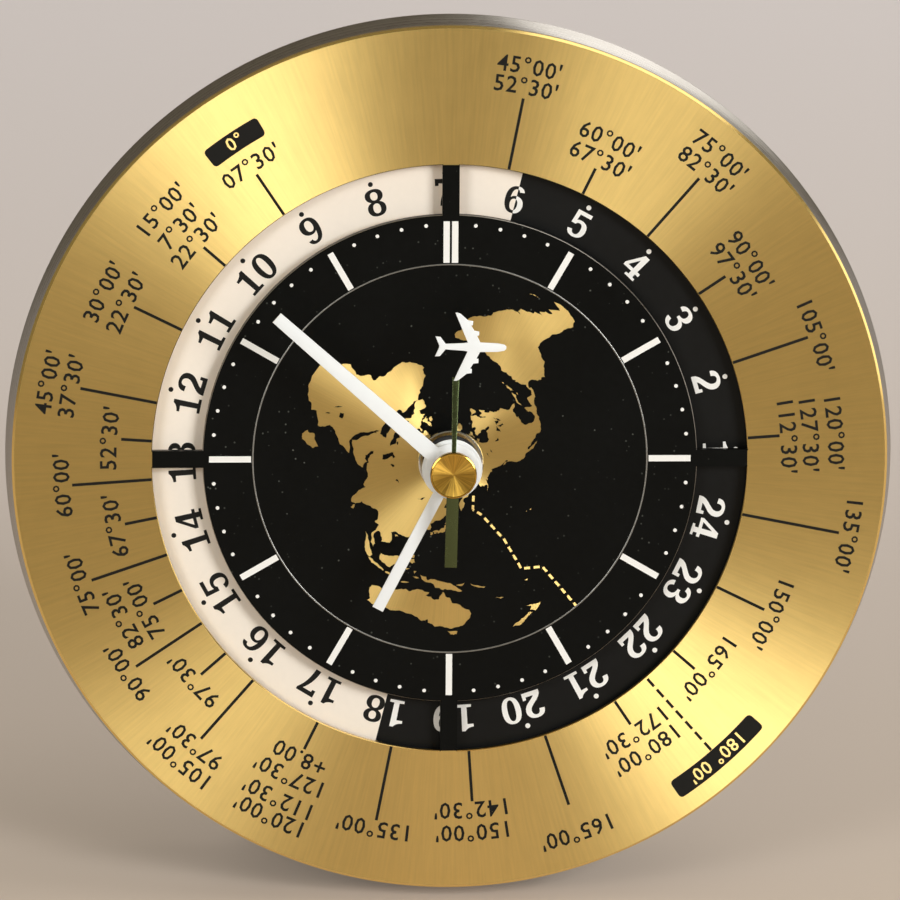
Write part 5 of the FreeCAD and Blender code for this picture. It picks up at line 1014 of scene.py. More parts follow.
class CLOCK_OT_front_plate(bpy.types.Operator):
    """Brass front plate with its polished bevel and four curved windows"""
    bl_idname = "clock.front_plate"
    bl_label = "Front plate"

    def execute(self, context):
        bevel, edge = mm("bevel"), 0.1
        brushed, polished, lacquered, glint_edge = range(4)

        def loops(outer, grow):
            return [ring_loop(outer, 360), ring_loop(PLATE_HOLE + grow, 96)] + [
                window_loop(q, grow) for q in range(4)]

        def wall(step, which):
            if which == 0:           # the rim: a bevel, then the plain side
                return polished if step < 2 else brushed
            if which == 1:           # the hole in the middle
                return polished
            return glint_edge if step == 0 else lacquered

        bm = levels(bmesh.new(), [
            (0, loops(PLATE_RADIUS - bevel, edge)),
            (edge, loops(PLATE_RADIUS - bevel + edge * 0.9, 0)),
            (bevel, loops(PLATE_RADIUS, 0)),
            (PLATE_DEPTH, loops(PLATE_RADIUS, 0))], wall)
        for face in bm.faces:
            if face.material_index not in (lacquered, glint_edge):
                continue
            middle = face.calc_center_median()
            out = math.hypot(middle.x, middle.z)
            front_edge = face.material_index == glint_edge
            if out > WINDOW_OUT - 0.05:
                face.material_index = polished if front_edge else brushed
            elif not (front_edge and WINDOW_IN - edge < out < WINDOW_IN):
                face.material_index = lacquered
        # The front chamfer of each window's inner edge is grey metal: a painted glint in place
        # of the light its black lacquer catches. Being metal, it also catches the lamps.
        line = finish("worn_lacquer_edge", tone("nickel"), metallic=1.0, roughness=0.35,
                      grain=0.3, relief=0.001, tint=0.1)
        piece("front_plate", bm,
              [sunray_brass(), polished_brass(), dial_lacquer(), line],
              "case", ("dial_plate",), "brass_plate", 20)
        return {"FINISHED"}


class CLOCK_OT_world_map(bpy.types.Operator):
    """Black lacquered field that leaves the land and the date line as bare brass"""
    bl_idname = "clock.world_map"
    bl_label = "World map"

    def execute(self, context):
        land, water = list(coasts(LAND, 7)), list(coasts(WATER, 8))
        path = [Vector(polar(r, a)) + Vector(MAP_MIDDLE) for a, r in DATE_LINE]
        line = dashes([tuple(point) for point in path], DASH, DASH_GAP, DASH_HALF)
        field = [field_loop(), ring_loop(PLATE_HOLE + 0.15, 96)]
        edge = mm("track_radius") - 0.1     # the map ends at the fine line

        def lacquered(middles):
            bare = np.zeros(len(middles), bool)
            for loop in land:
                bare |= inside(middles, loop)
            for loop in water:
                bare &= ~inside(middles, loop)
            for loop in line:
                bare |= inside(middles, loop)
            out = np.hypot(middles[:, 0], middles[:, 1])
            bare &= out < edge
            return even_odd(field)(middles) & ~bare

        track = ring_loop(edge, 240)
        points, faces = triangles(field + [track] + land + water + line, lacquered)
        bm = prism(bmesh.new(), points, [list(face) for face in faces], -mm("lacquer"), 0.01)
        piece("sea_and_ring", bm, [dial_lacquer()], "case")
        return {"FINISHED"}


class CLOCK_OT_chapter_ring(bpy.types.Operator):
    """White hour bars and minute dots, and the fine line inside them"""
    bl_idname = "clock.chapter_ring"
    bl_label = "Chapter ring"

    def execute(self, context):
        white = printed_ink("white_dial_ink", tone("white_ink"))
        front, back = -mm("lacquer") - mm("ink"), -mm("lacquer") + 0.004
        half, long, foot = mm("bar_width") / 2, mm("bar_length"), mm("bar_start")

        def bar(shift=0.0):
            return [(shift - half, 0), (shift + half, 0), (shift + half, long),
                    (shift - half, long)]

        grown("hour_bars", ring_tree(), slab(bmesh.new(), [bar()], front, back), white,
              "case", Radius=foot, Count=12, Group=12, From=1, To=12)
        pair = slab(bmesh.new(), [bar(-half - 0.16)], front, back)
        slab(pair, [bar(half + 0.16)], front, back)
        grown("twelve_bars", ring_tree(), pair, white, "case", Radius=foot, Count=1,
              Group=1, From=0, To=1)
        dot = lathe(bmesh.new(), [(0, front), (mm("minute_dot") / 2 - 0.02, front),
                                  (mm("minute_dot") / 2, back), (0, back)], 16)
        grown("minute_dots", ring_tree(), dot, white, "case", Radius=mm("minute_circle"),
              Count=60, Group=5, From=1, To=5)
        middle, wide = mm("track_radius"), mm("track_width") / 2
        level = -mm("lacquer")
        track = lathe(bmesh.new(), [
            (middle - wide, level + 0.01), (middle - wide * 0.6, level - 0.045),
            (middle, level - 0.06), (middle + wide * 0.6, level - 0.045),
            (middle + wide, level + 0.01)], 360)
        silver = finish("bare_metal_track", (*linear("#8E8D89"), 1), metallic=0.85,
                        roughness=0.34, grain=0.8, relief=0.002, tint=0.1)
        piece("track_line", track, [silver], "case", sharp=60)
        return {"FINISHED"}


# Offset of a time zone in hours, and how far its line reaches from the middle, in mm.
ZONE_LINES = {-11: 47.9, -10: 51.5, -9: 58.2, -8: 48.4, -7: 55.3, -6: 48.4, -5: 55.1,
              -4: 47.9, -3: 54.4, 0: 50.9, 1: 47.9, 2: 51.5, 3: 55.1, 3.5: 48.2, 4: 55.4,
              4.5: 48.5, 5: 55.4, 5.5: 48.4, 6: 55.3, 6.5: 48.5, 7: 55.3, 8: 48.2, 9: 55.0,
              10: 51.3, 11: 54.7, 12: 47.9}

# Radii of the rows of figures over each line, in mm, from the outermost in.
ZONE_ROWS = {-11: [49.5], -10: [52.9], -9: [59.8], -8: [56.6, 52.9, 49.7], -7: [56.6],
             -6: [52.9, 49.8], -5: [59.8, 56.6], -4: [52.6, 49.4], -3: [59.2, 56.2],
             0: [52.5], 1: [56.3, 52.6, 49.4], 2: [56.6, 52.9], 3: [60.0, 56.6],
             3.5: [50.0], 4: [56.9], 4.5: [50.1], 5: [57.0], 5.5: [53.4, 50.0], 6: [56.9],
             6.5: [50.0], 7: [60.0, 56.7], 8: [59.5, 56.6, 52.9, 49.7], 9: [56.3],
             10: [56.0, 52.6], 11: [59.2], 12: [52.6, 49.4]}


def degrees_and_minutes(value):
    """A longitude as figures."""
    value = abs(value)
    return f"{int(value)}°{round(value % 1 * 60):02d}'"


def zone_figures(offset):
    """The figures of a zone's rows: its middle longitude, its two edges, its hours."""
    middle = 15 * offset
    return [degrees_and_minutes(middle), degrees_and_minutes(middle - 7.5),
            degrees_and_minutes(middle + 7.5), f"{offset:+.2f}"]


def lettered(bm, rows, front, back):
    """Sets rows of figures round the face: (text, radius, angle, height), tops outwards."""
    curve = bpy.data.curves.new("row", "FONT")
    curve.align_x, curve.align_y = "CENTER", "CENTER"
    curve.resolution_u, curve.extrude = 2, 0.5
    writer = bpy.data.objects.new("row", curve)
    bpy.context.scene.collection.objects.link(writer)

    def drawn(words):
        curve.body = words
        bpy.context.view_layer.update()
        seen = writer.evaluated_get(bpy.context.evaluated_depsgraph_get())
        return bpy.data.meshes.new_from_object(seen)

    sample = drawn("0")
    ys = [v.co.y for v in sample.vertices]
    tall, middle = max(ys) - min(ys), (max(ys) + min(ys)) / 2
    curve.offset = 0.011
    curve.space_character = 1.08
    for words, radius, angle, height in rows:
        mesh = drawn(words)
        scale = height / tall
        verts = []
        for v in mesh.vertices:
            x, z = polar(radius + (v.co.y - middle) * scale,
                         angle + math.degrees(v.co.x * scale / radius))
            verts.append(bm.verts.new((x, front if v.co.z > 0 else back, z)))
        for polygon in mesh.polygons:
            try:
                bm.faces.new([verts[i] for i in polygon.vertices])
            except ValueError:
                continue
        bpy.data.meshes.remove(mesh)
    bpy.data.objects.remove(writer)
    bmesh.ops.remove_doubles(bm, verts=bm.verts[:], dist=0.002)
    return bm


def label_outline(radius, angle, half_height, half_run, corner):
    """Outline of a curved label with rounded corners, half_run degrees to each side."""
    points, inset = [], half_run - math.degrees(corner / radius)
    for side, level, first in ((1, 1, 0), (1, -1, 90), (-1, -1, 180), (-1, 1, 270)):
        middle = polar(radius + level * (half_height - corner), angle + side * inset)
        for a in (0, 30, 60, 90):
            off = polar(corner, angle + side * inset + first + a)
            points.append((middle[0] + off[0], middle[1] + off[1]))
        if side != level:
            inner = arc(radius - half_height, angle + inset, angle - inset)
            points += inner[1:-1] if side > 0 else []
    return points + arc(radius + half_height, angle - inset, angle + inset)[1:-1]


class CLOCK_OT_zone_scale(bpy.types.Operator):
    """Black index lines of the time zones and the rows of figures over them"""
    bl_idname = "clock.zone_scale"
    bl_label = "Zone scale"

    def execute(self, context):
        black = printed_ink("black_plate_ink", tone("black_ink"))
        front, back, half = -mm("ink"), 0.004, mm("index_width") / 2
        start = WINDOW_OUT + 0.12
        unit = slab(bmesh.new(), [[(-half, 0), (half, 0), (half, 1), (-half, 1)]],
                    front, back)
        rows = []
        for offset, reach in ZONE_LINES.items():
            angle = MERIDIAN_ANGLE - 15 * offset
            x, z = polar(start, angle)
            rows.append((x, 0, z, math.radians(angle), reach - start))
        for number in range(7):     # the date line goes on over the brass, in dashes
            x, z = polar(start + 0.25 + 2.13 * number, DATE_LINE_ANGLE)
            rows.append((x, 0, z, math.radians(DATE_LINE_ANGLE), 1.5))
        grown("index_lines", place_tree(), unit, black, "case",
              points_mesh("index_points", rows))

        tall = mm("row_height")
        lines = []
        for offset, radii in ZONE_ROWS.items():
            words = ["07°30'"] if offset == 0 else zone_figures(offset)
            aside = 1.8 if offset == -11 else 0    # keeps clear of the date line
            angle = MERIDIAN_ANGLE - 15 * offset - aside
            for text, radius in zip(words, radii):
                lines.append((text, radius, angle, tall))
        bm = lettered(bmesh.new(), lines, front, back)
        piece("row_figures", bm, [black], "case", sharp=60, outward=False)

        labels = [("180° 00'", 59.8, DATE_LINE_ANGLE, 7.6), ("0°", 56.7, MERIDIAN_ANGLE, 4.6)]
        bm = bmesh.new()
        for _, radius, angle, half_run in labels:
            slab(bm, [label_outline(radius, angle, 1.5, half_run, 0.6)], front, back)
        piece("label_grounds", bm, [black], "case", sharp=60)
        bm = lettered(bmesh.new(), [(text, radius, angle, 0.82 * tall)
                                    for text, radius, angle, _ in labels],
                      front - 0.012, front + 0.004)
        piece("label_figures", bm, [sunray_brass()], "case", sharp=60, outward=False)
        return {"FINISHED"}


class CLOCK_OT_day_disc(bpy.types.Operator):
    """Day and night disc with the hours 1 to 24, on the day wheel"""
    bl_idname = "clock.day_disc"
    bl_label = "Day disc"

    def execute(self, context):
        cream = finish("cream_printed_disc", tone("cream"), roughness=0.5, grain=0.9,
                       relief=0.002, tint=0.02)
        night = finish("night_printed_disc", tone("night"), roughness=0.42, grain=0.9,
                       relief=0.002, tint=0.1, **{"Specular IOR Level": 0.2})
        white = printed_ink("white_disc_ink", tone("white_ink"))
        black = printed_ink("black_disc_ink", tone("black_ink"))
        bm = lathe(bmesh.new(), [(6.65, 2.25), (6.7, 2.2), (45.9, 2.2), (46.0, 2.3),
                                 (46.0, 2.7), (45.9, 2.8), (6.7, 2.8), (6.65, 2.75)], 360,
                   start=DISC_EDGE_ANGLE, finish_at=lambda side, i: 1 if i < 180 else 0)
        piece("day_disc_print", bm, [cream, night], "day", ("day_disc",), "disc_print", 40)

        tall, foot = mm("hour_figure"), 37.2    # height and inner edge of the figures
        unit, space, stretch = tall / 100, 6, 1.2
        front, back = DISC_FRONT - mm("ink"), DISC_FRONT + 0.004
        bm = bmesh.new()
        for hour in range(1, 25):
            angle, pen, parts = NINE_ANGLE + (9 - hour) * 15, 0.0, []
            for digit in str(hour):
                loops, wide = figure_loops(digit)
                parts.append((pen, loops))
                pen += wide + space
            wider = stretch * unit / (foot + tall / 2)
            for begin, loops in parts:
                shift = begin - (pen - space) / 2
                slab(bm, [[polar(foot + z * unit, angle + math.degrees((shift + x) * wider))
                           for x, z in loop] for loop in loops], front, back)
        across = Vector((*polar(1, DISC_EDGE_ANGLE + 90), 0)).xzy
        bmesh.ops.bisect_plane(bm, geom=bm.verts[:] + bm.edges[:] + bm.faces[:],
                               dist=1e-6, plane_co=(0, 0, 0), plane_no=across)
        for face in bm.faces:
            dark = face.calc_center_median().dot(across) > 0
            face.material_index = 1 if dark else 0
        piece("day_disc_figures", bm, [black, white], "day", sharp=60)

        for name, ink, low, high in (("day_disc_dots", black, 13, 24),
                                     ("night_disc_dots", white, 1, 12)):
            dot = lathe(bmesh.new(), [(0, front), (mm("hour_dot") / 2 - 0.02, front),
                                      (mm("hour_dot") / 2, back), (0, back)], 20)
            grown(name, ring_tree(), dot, ink, "day", Radius=42.0, Count=24, Group=24,
                  From=low, To=high, **{"First angle": NINE_ANGLE + 45 - 360})
        return {"FINISHED"}


# ---------------------------------------------------------------- hands

def hand_outline(hub, root_half, tip_half, reach, angle):
    """A straight hand with a square end, in one with its round hub disc."""
    open_angle = math.degrees(math.asin(root_half / hub))
    points = arc(hub, open_angle, 360 - open_angle, 5)
    points += [(-tip_half, reach), (tip_half, reach)]
    return turned(points, angle)


def white_enamel():
    """Stoved white enamel on stamped brass: smooth, soft gloss, slightly full edges."""
    return finish("white_hand_enamel", tone("enamel"), roughness=0.36, grain=1.4,
                  relief=0.003, tint=0.012, gloss=0.04, **{"Coat Weight": 0.15})


class CLOCK_OT_hour_and_minute(bpy.types.Operator):
    """White hour and minute hands"""
    bl_idname = "clock.hour_and_minute"
    bl_label = "Hour and minute hands"

    def execute(self, context):
        for name, node, body, hub, bore, root, tip, reach, angle, level in (
                ("hour_hand_white", "hour_hand", "hour", 4.4, 3.2, 0.85, 0.85, 23.4,
                 207.5, -8.5),
                ("minute_hand_white", "minute_hand", "minute", 4.05, 2.2, 1.2, 0.9, 34.3,
                 311.5, -9.9)):
            loops = [hand_outline(hub, root, tip, reach, angle), ring_loop(bore, 64)]
            bm = soft_slab(bmesh.new(), loops, level, level + 0.4, 0.07)
            piece(name, bm, [white_enamel()], body, (node,), "hand_white", 50)
        return {"FINISHED"}


# Half of the aeroplane's outline, nose first: shares of its length and of its half span.
PLANE_HALF = [
    (0.000, 0.04), (0.030, 0.09), (0.120, 0.125), (0.365, 0.14), (0.415, 0.34),
    (0.385, 0.34), (0.385, 0.46), (0.455, 0.48), (0.500, 0.63), (0.475, 0.64),
    (0.475, 0.76), (0.545, 0.78), (0.655, 0.97), (0.700, 1.00), (0.725, 0.99),
    (0.540, 0.13), (0.600, 0.11), (0.850, 0.08), (0.925, 0.28), (0.995, 0.29),
    (0.940, 0.03)]


class CLOCK_OT_second_hand(bpy.types.Operator):
    """Gilt second hand with its counterweight, and the white aeroplane on it"""
    bl_idname = "clock.second_hand"
    bl_label = "Second hand"

    def execute(self, context):
        # The blade reflects what is round it as metal, and its colour is also darkened to olive:
        # painted shade for the dark it reflects.
        gilt = finish("olive_gilt_second_blade", tone("olive"), metallic=1.0,
                      roughness=0.26, grain=1.0, relief=0.002, tint=0.08)
        angle = 1.3                             # where the hand stands at rest
        hub, tail, wide = 2.0, 13.8, 0.9        # disc, counterweight and its half width
        top, low = (math.degrees(math.asin(half / hub)) for half in (0.3, wide))
        blade = arc(hub, top, 180 - low, 6) + [(wide, -tail), (-wide, -tail)]
        blade += arc(hub, 180 + low, 360 - top, 6) + [(-0.5, 14.4), (0.5, 14.4)]
        bm = soft_slab(bmesh.new(), [turned(blade, angle), ring_loop(1.05, 48)],
                       -12.68, -12.42, 0.05)
        piece("second_hand_blade", bm, [gilt], "seconds", ("second_hand",), "gilt", 50)
        nose, axis, half_span, long = 7.2, 18.9, 5.05, 10.4
        upper = [(nose - along * long, axis + out * half_span) for along, out in PLANE_HALF]
        lower = [(x, 2 * axis - z) for x, z in reversed(upper)]
        bm = soft_slab(bmesh.new(), [turned(upper + lower, angle)], -12.7, -12.4, 0.05)
        piece("second_hand_plane", bm, [white_enamel()], "seconds", slot="hand_white",
              sharp=50)
        return {"FINISHED"}


class CLOCK_OT_hub(bpy.types.Operator):
    """Chromed dial nut and washer, and the turned gilt cap of the second hand"""
    bl_idname = "clock.hub"
    bl_label = "Hub"

    def execute(self, context):
        chrome = finish("chromed_dial_nut", tone("chrome"), metallic=1.0, roughness=0.12,
                        grain=0.8, relief=0.001, tint=0.04, gloss=0.02)
        bm = lathe(bmesh.new(), [
            (3.95, -0.5), (3.95, -3.0), (4.1, -3.2), (4.55, -3.2), (4.72, -3.1),
            (4.8, -2.9), (4.8, -0.75), (4.65, -0.5)], 160)
        piece("dial_nut_chromed", bm, [chrome], "case", ("dial_nut",), "dial_chrome", 20)
        bm = lathe(bmesh.new(), [
            (3.95, 0), (3.95, -0.5), (4.4, -0.5), (4.52, -0.4), (4.55, -0.25),
            (4.55, 0)], 160)
        piece("dial_washer_chromed", bm, [chrome], "case", ("dial_washer",),
              "dial_chrome", 30)
        name = "turned_gilt_cap"
        # The cap's gilt tone is darkened: painted shade for the dark its upper part reflects.
        cap = finish(name, tone("gilt"), metallic=1.0, roughness=0.36, grain=1.0,
                     relief=0.0005, tint=0.04, gloss=0.02, Anisotropic=0.85)
        tree = cap.node_tree
        tree.links.new(round_tangent(tree), shader_of(cap).inputs["Tangent"])
        lined(cap, spokes(tree, 3.2, 6), 0.0006, tint=0.3)
        rim = finish("polished_gilt_rim", shaded(tone("gilt"), 1.1), metallic=1.0,
                     roughness=0.15, grain=1.0, relief=0.0005, tint=0.03)
        bm = lathe(bmesh.new(), [
            (0, -13.22), (0.5, -13.235), (3.08, -13.68), (3.2, -13.7), (3.34, -13.64),
            (3.4, -13.5), (3.4, -12.7), (0, -12.7)], 128,
            finish_at=lambda side, i: 0 if side < 2 else 1)
        piece("second_cap_gilt", bm, [cap, rim], "seconds", ("second_cap",), "gilt", 22)
        return {"FINISHED"}


# ---------------------------------------------------------------- case

class CLOCK_OT_case_rim(bpy.types.Operator):
    """Spun rim that flares out behind the plate, with rolled edges"""
    bl_idname = "clock.case_rim"
    bl_label = "Case rim"

    def execute(self, context):
        profile = [(47.6, 1.2), (63.85, 1.2), (64.0, 1.24), (64.1, 1.34)]
        profile += [(64.12 + 0.84 * t ** 1.25, 1.4 + 4.45 * t)
                    for t in (0.1, 0.25, 0.4, 0.55, 0.7, 0.85, 0.95)]
        profile += [(64.96, 5.85), (64.97, 5.98), (64.9, 6.08), (64.8, 6.1), (63.25, 6.1),
                    (63.12, 6.0), (62.3, 2.55), (62.05, 2.4), (47.6, 2.4), (47.5, 2.3),
                    (47.5, 1.3)]
        bm = lathe(bmesh.new(), profile, 360)
        piece("case_rim_spun", bm, [spun_metal()], "case", ("case_rim",), "spun_metal", 35)
        return {"FINISHED"}


class CLOCK_OT_drum_and_cover(bpy.types.Operator):
    """Moulded drum, back cover and battery door, their edges softened as moulded"""
    bl_idname = "clock.drum_and_cover"
    bl_label = "Drum and cover"

    def execute(self, context):
        black = moulded_black()
        softened("case_drum", "case_drum_moulded", [black], "case", 0.22, "black_abs")
        softened("back_cover", "back_cover_moulded", [black], "case", 0.2, "black_abs")
        softened("battery_door", "battery_door_moulded", [black], "battery_door", 0.16,
                 "black_abs")
        return {"FINISHED"}


class CLOCK_OT_setting_knob(bpy.types.Operator):
    """Fluted setting knob on the back, with a turned dish and a raised ring"""
    bl_idname = "clock.setting_knob"
    bl_label = "Setting knob"

    def execute(self, context):
        axis = (18.6603, 5.0)
        pitch = 360 / context.scene.clock_sizes.flutes
        circle, cutter = 6.35, 0.8     # where a flute's round cutter runs, and its radius

        def wave(radius, depth, angle):
            if radius < 5.2:
                return radius
            off = math.radians((angle + pitch / 2) % pitch - pitch / 2)
            under = cutter ** 2 - (circle * math.sin(off)) ** 2
            if under <= 0:
                return radius
            return min(radius, circle * math.cos(off) - math.sqrt(under))

        bm = lathe(bmesh.new(), [
            (1.6, 27.0), (5.5, 27.0), (5.8, 27.08), (5.94, 27.25), (6.0, 27.5),
            (6.0, 31.35), (5.92, 31.6), (5.7, 31.82), (5.3, 31.96), (5.0, 32.0),
            (4.7, 31.97), (4.55, 31.85), (4.4, 31.65), (2.0, 31.5), (0, 31.47),
            (0, 31.0), (1.6, 31.0)], 480, axis, wave=wave)
        piece("setting_knob_moulded", bm, [moulded_black()], "set_knob", ("set_knob",),
              "black_abs", 40)
        return {"FINISHED"}


class CLOCK_OT_foot(bpy.types.Operator):
    """Moulded foot and its ribbed rubber sole"""
    bl_idname = "clock.foot"
    bl_label = "Foot"

    def execute(self, context):
        softened("foot", "foot_moulded", [moulded_black()], "case", 0.45, "black_abs")
        rubber = finish("ribbed_sole_rubber", (*linear("#2A2A29"), 1), roughness=0.85,
                        grain=0.3, relief=0.02, tint=0.1, gloss=0.05)
        softened("foot_sole", "foot_sole_rubber", [rubber], "case", 0.2, "sole_rubber")
        return {"FINISHED"}


def cross_head(radius, front, back, shank, tip):
    """A pan-head screw seen from behind, with a tapered cross recess; its shank too."""
    bm = lathe(bmesh.new(), [
        (0, back), (radius * 0.5, back - 0.04), (radius * 0.8, back - 0.2),
        (radius * 0.95, back - 0.45), (radius, back - 0.7), (radius, front),
        (shank, front), (shank, tip + 0.4), (shank * 0.4, tip), (0, tip)], 48)
    bmesh.ops.recalc_face_normals(bm, faces=bm.faces[:])
    tool = bmesh.new()
    arm, wing = radius * 0.62, radius * 0.15
    plan = [(-wing, wing), (-wing, arm), (wing, arm), (wing, wing), (arm, wing),
            (arm, -wing), (wing, -wing), (wing, -arm), (-wing, -arm), (-wing, -wing),
            (-arm, -wing), (-arm, wing)]
    small = [(x * 0.62, z * 0.62) for x, z in plan]      # the recess narrows inwards
    levels(tool, [(back - 0.85, [small]), (back + 0.4, [plan])])
    return carved(bm, tool)


def carved(bm, tool):
    """The first shape with the second cut away."""
    things = []
    for shape in (bm, tool):
        bmesh.ops.recalc_face_normals(shape, faces=shape.faces[:])
        mesh = bpy.data.meshes.new("carving")
        shape.to_mesh(mesh)
        shape.free()
        thing = bpy.data.objects.new("carving", mesh)
        bpy.context.scene.collection.objects.link(thing)
        things.append(thing)
    cut = things[0].modifiers.new("cut", "BOOLEAN")
    cut.object, cut.operation, cut.solver = things[1], "DIFFERENCE", "EXACT"
    bpy.context.view_layer.update()
    seen = things[0].evaluated_get(bpy.context.evaluated_depsgraph_get())
    made = bpy.data.meshes.new_from_object(seen)
    result = bmesh.new()
    result.from_mesh(made)
    for thing in things:
        bpy.data.objects.remove(thing)
    return result


class CLOCK_OT_fixings(bpy.types.Operator):
    """Cover screws, and the nuts of the plate studs"""
    bl_idname = "clock.fixings"
    bl_label = "Fixings"

    def execute(self, context):
        zinc = zinc_plate()
        count = context.scene.clock_sizes.screws
        grown("cover_screws_zinc", ring_tree(), cross_head(2.1, 26.0, 27.3, 0.8, 18.1),
              zinc, "case", None, ("cover_screws",), "steel_fasteners", 30, Radius=46.0,
              Count=count, Group=1, From=0, To=1)
        nut = bmesh.new()
        hexagon = [polar(2.0 / math.cos(math.radians(30)), 30 + 60 * i) for i in range(6)]
        crown = [polar(1.93, 30 + 60 * i) for i in range(6)]
        bore, wide = ring_loop(1.04, 24), ring_loop(1.2, 24)
        levels(nut, [(7.0, [hexagon, bore]), (8.6, [hexagon, bore]), (8.8, [crown, wide])])
        grown("stud_nuts_zinc", ring_tree(), nut, zinc, "case", None, ("stud_nuts",),
              "steel_fasteners", 30, Radius=57.0, Count=4, Group=1, From=0, To=1,
              **{"First angle": 45.0})
        return {"FINISHED"}


class CLOCK_OT_battery(bpy.types.Operator):
    """AA cell with its sleeve, crimped shoulder and tip"""
    bl_idname = "clock.battery"
    bl_label = "Battery"

    def execute(self, context):
        sleeve = finish("graphite_cell_sleeve", (*linear("#3B3F45"), 1), roughness=0.3,
                        grain=0.8, relief=0.002, tint=0.05, **{"Coat Weight": 0.3})
        band = finish("copper_cell_band", (*linear("#B9743C"), 1), roughness=0.3,
                      grain=0.8, relief=0.002, tint=0.05, metallic=0.6)
        steel = finish("nickelled_cell_steel", (*linear("#C9C7C2"), 1), metallic=1.0,
                       roughness=0.24, grain=0.8, relief=0.002, tint=0.05)
        low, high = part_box("battery_can")
        inward = CLOCK.inverted() @ ((low + high) / 2)
        run = (high.x - low.x) * 1000
        place = CLOCK @ Matrix.Translation((low.x * 1000, inward.y, inward.z)) @ \
            Matrix.Rotation(math.radians(-90), 4, "Z")
        r = 7.25                                # of the cell
        profile = [(0, 0.25), (4.6, 0.25), (4.9, 0.05), (6.3, 0.0), (6.9, 0.08),
                   (7.15, 0.4), (r, 0.8), (r, run * 0.68), (r, run - 0.9),
                   (7.15, run - 0.45), (6.8, run - 0.1), (6.2, run), (4.2, run - 0.1),
                   (0, run - 0.1)]
        finishes = [2, 2, 2, 2, 0, 0, 0, 1, 1, 1, 2, 2, 2, 2]
        bm = lathe(bmesh.new(), profile, 96, finish_at=lambda side, i: finishes[side])
        piece("cell_sleeved", bm, [sleeve, band, steel], "case", ("battery_can",),
              "cell_sleeve", 30, place)
        bm = lathe(bmesh.new(), [
            (0, run - 0.1), (2.75, run - 0.1), (2.75, run + 0.9), (2.6, run + 1.2),
            (2.3, run + 1.3), (0, run + 1.3)], 64)
        piece("cell_tip_steel", bm, [steel], "case", ("battery_tip",), "contact_spring",
              30, place)
        return {"FINISHED"}


def wound(name, colour, pitch):
    """Enamelled copper wire in close turns; they are drawn 0.25 mm apart so that they
    show, about twice the real pitch."""
    material = finish(name, colour, metallic=0.9, roughness=0.35, grain=0.6, relief=0.002,
                      tint=0.08)
    tree = material.node_tree
    turns = add(tree, "ShaderNodeTexWave", {"bands_direction": "X", "wave_profile": "SIN"},
                {"Vector": clock_mm(tree), "Scale": 0.314 / pitch, "Distortion": 0.3}, "Fac")
    return lined(material, turns, 0.06, tint=0.25)


def etched_board():
    """Green laminate with tinned copper tracks under the mask."""
    material = finish("green_board_laminate", (*linear("#1E5230"), 1), roughness=0.4,
                      grain=0.6, relief=0.004, tint=0.1, **{"Coat Weight": 0.2})
    tree, shader = material.node_tree, shader_of(material)
    tracks = add(tree, "ShaderNodeTexBrick", {"offset": 0.37, "squash": 1.0}, {
        "Vector": clock_mm(tree), "Scale": 0.5, "Mortar Size": 0.06, "Brick Width": 2.2,
        "Row Height": 0.9}, "Fac")
    colour = shader.inputs["Base Color"].links[0].from_socket
    share = add(tree, "ShaderNodeMath", {"operation": "MULTIPLY"}, {0: tracks, 1: 0.6})
    printed = add(tree, "ShaderNodeMix", {"data_type": "RGBA"},
                  {0: share, 6: colour, 7: (*linear("#6F9A63"), 1)}, 2)
    tree.links.new(printed, shader.inputs["Base Color"])
    return material


